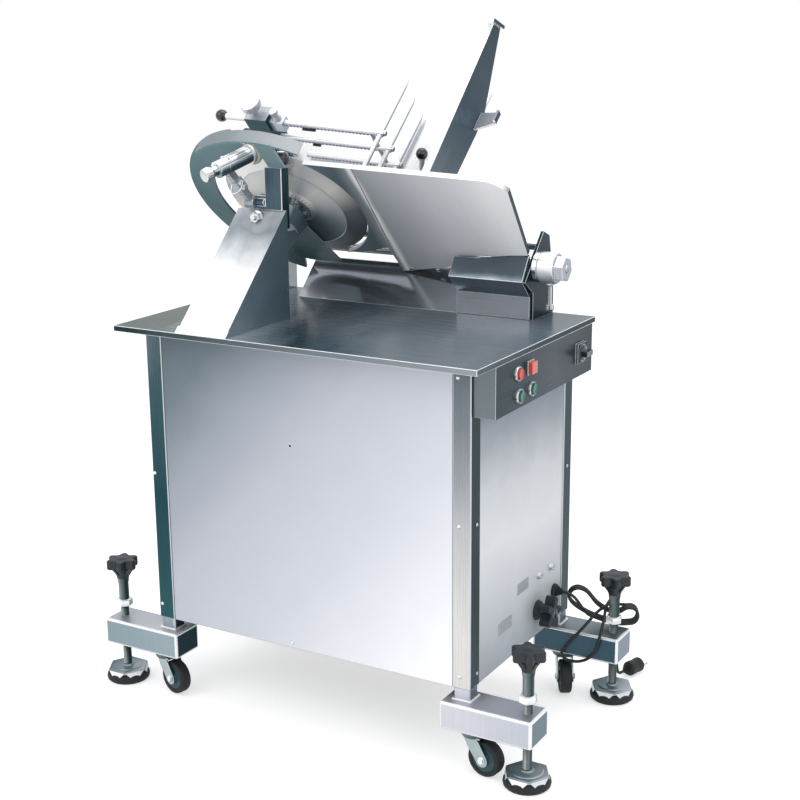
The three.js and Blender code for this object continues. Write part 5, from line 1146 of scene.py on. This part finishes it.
def make_lever():
    hub = hopper(41, 68, -86)
    ball = hopper(41, 137, -1)
    across = hopper.way(1, 0, 0)
    way = (ball - hub).normalized()
    shape = Shape().lathe([(0, -11), (12, -11), (13, -10), (13, 10), (12, 11), (0, 11)], hub, across, 40, 0)
    length = (ball - hub).length / MM
    shape.lathe([(7, 8), (7.6, 14), (6, 20), (5.4, 60), (6, length - 14), (8, length - 12), (8, length - 9)],
                hub, way,
                32, 0)
    shape.lathe([(0, -13), (5, -12.2), (8, -10.4), (11.2, -6.6), (13, 0), (12, 5), (9.2, 9.2), (5, 12),
                 (0, 13)], ball, way, 48, 1)
    shape.make("lever_handle", "clamp", "chrome", [white_metal, black_gloss], ["clamp_lever"])


def make_thickness_nut():
    axis = machine(-49.7, 391, 960)
    nut = Shape()
    nut.lathe([(0, 0), (30, 0), (31.5, 1.2), (31.5, 10.5), (30, 12), (26, 13)], axis, X, 64, 0)
    nut.lathe([(26, 11), (31, 12), (32.6, 14), (33, 20), (33, 40), (32.4, 45), (30.4, 47.6), (24, 48),
               (0, 48)], axis, X, 64, 1)
    nut.hexagon(axis + X * 47.5 * MM, X, 48, 20, 1, 3)
    nut.lathe([(0, 0), (9, 0), (8, 3), (0, 4)], axis + X * 66 * MM, X, 32, 0)
    centre = axis + X * 30 * MM
    for way in (Y, -Z):
        nut.rod(centre + way * 28 * MM, centre + way * 78 * MM, 4.5, 0.5, 24, 0)
        nut.lathe([(0, 0), (6, 0), (9, 2), (9, 11), (7.5, 13.3), (0, 13.4)], centre + way * 75 * MM, way, 32,
                  0)
        nut.lathe([(9, 0), (9, 3), (6, 5), (4.5, 6)], centre + way * 32 * MM, way, 32, 1)
    nut.make("nut_drum", "thickness_control", "chrome", [chrome, white_metal], ["thickness_nut"], 0.4)


# Stage
FLOOR_GLOW = 0.5
FLOOR_COLOUR = (0.9, 0.9, 0.91, 1)
WORLD_LIGHT = 0.62


def add_stage():
    mesh = bpy.data.meshes.new("floor")
    reach = 12.0
    mesh.from_pydata([(-reach, -reach, 0), (reach, -reach, 0), (reach, reach, 0), (-reach, reach, 0)], [],
                     [(0, 1, 2, 3)])
    floor = bpy.data.objects.new("floor", mesh)
    bpy.context.scene.collection.objects.link(floor)
    paint = Paint("floor_white", 0.9)
    paint.shader.inputs["Base Color"].default_value = FLOOR_COLOUR
    rays = paint.node("ShaderNodeLightPath").outputs
    shown = paint.math("MAXIMUM", rays["Is Camera Ray"], rays["Is Glossy Ray"])
    glow = paint.node("ShaderNodeEmission", {"Strength": paint.math("MULTIPLY", shown, FLOOR_GLOW)})
    both = paint.node("ShaderNodeAddShader", {0: paint.shader.outputs[0], 1: glow.outputs[0]})
    paint.tree.links.new(both.outputs[0], paint.tree.nodes["Material Output"].inputs[0])
    mesh.materials.append(paint.material)

    world = bpy.data.worlds.new("studio")
    bpy.context.scene.world = world
    world.use_nodes = True
    tree = world.node_tree
    back = tree.nodes["Background"]
    back.inputs["Color"].default_value = (1, 1, 1, 1)
    rays = tree.nodes.new("ShaderNodeLightPath")
    either = tree.nodes.new("ShaderNodeMath")
    either.operation = "MAXIMUM"
    tree.links.new(rays.outputs["Is Camera Ray"], either.inputs[0])
    tree.links.new(rays.outputs["Is Glossy Ray"], either.inputs[1])
    shown = tree.nodes.new("ShaderNodeMath")
    shown.operation = "MAXIMUM"
    tree.links.new(either.outputs[0], shown.inputs[0])
    tree.links.new(rays.outputs["Is Transmission Ray"], shown.inputs[1])
    strength = tree.nodes.new("ShaderNodeMapRange")
    strength.inputs["To Min"].default_value = WORLD_LIGHT
    strength.inputs["To Max"].default_value = 1.0
    tree.links.new(shown.outputs[0], strength.inputs[0])
    tree.links.new(strength.outputs[0], back.inputs["Strength"])


# Name, place, aim, size in metres, power in watts, and whether it shows in reflections
LAMPS = (("key", (-1.4, -2.8, 3.0), (0, 0, 0.6), 2.4, 30, True),
         ("fill", (3.0, -1.6, 1.8), (0, 0, 0.6), 2.0, 20, True),
         ("top", (0.2, 0.4, 3.4), (0, 0, 0.8), 2.2, 30, True),
         ("low", (0.6, -3.2, 0.35), (0, 0, 1.1), 1.8, 34, False))


def add_lamp(name, place_at, target, size, power, glossy):
    data = bpy.data.lights.new(name, "AREA")
    data.size = size
    data.energy = power
    lamp = bpy.data.objects.new(name, data)
    lamp.location = place_at
    lamp.rotation_euler = (Vector(target) - Vector(place_at)).to_track_quat("-Z", "Y").to_euler()
    bpy.context.scene.collection.objects.link(lamp)
    lamp.visible_camera = False
    lamp.visible_glossy = glossy


add_camera()
make_cord()
for corner_name, (corner_side, corner_end, corner_swing) in CORNERS.items():
    make_corner(corner_name, corner_side, corner_end, corner_swing)
make_cabinet()
make_panel_fittings()
make_column()
make_housing()
make_guard()
make_gauge_plate()
make_blade()
make_sharpener()
make_arm_fittings()
make_hopper()
make_fence()
make_lever()
make_thickness_nut()
add_stage()
for lamp in LAMPS:
    add_lamp(*lamp)

bpy.context.scene.view_settings.view_transform = "Standard"
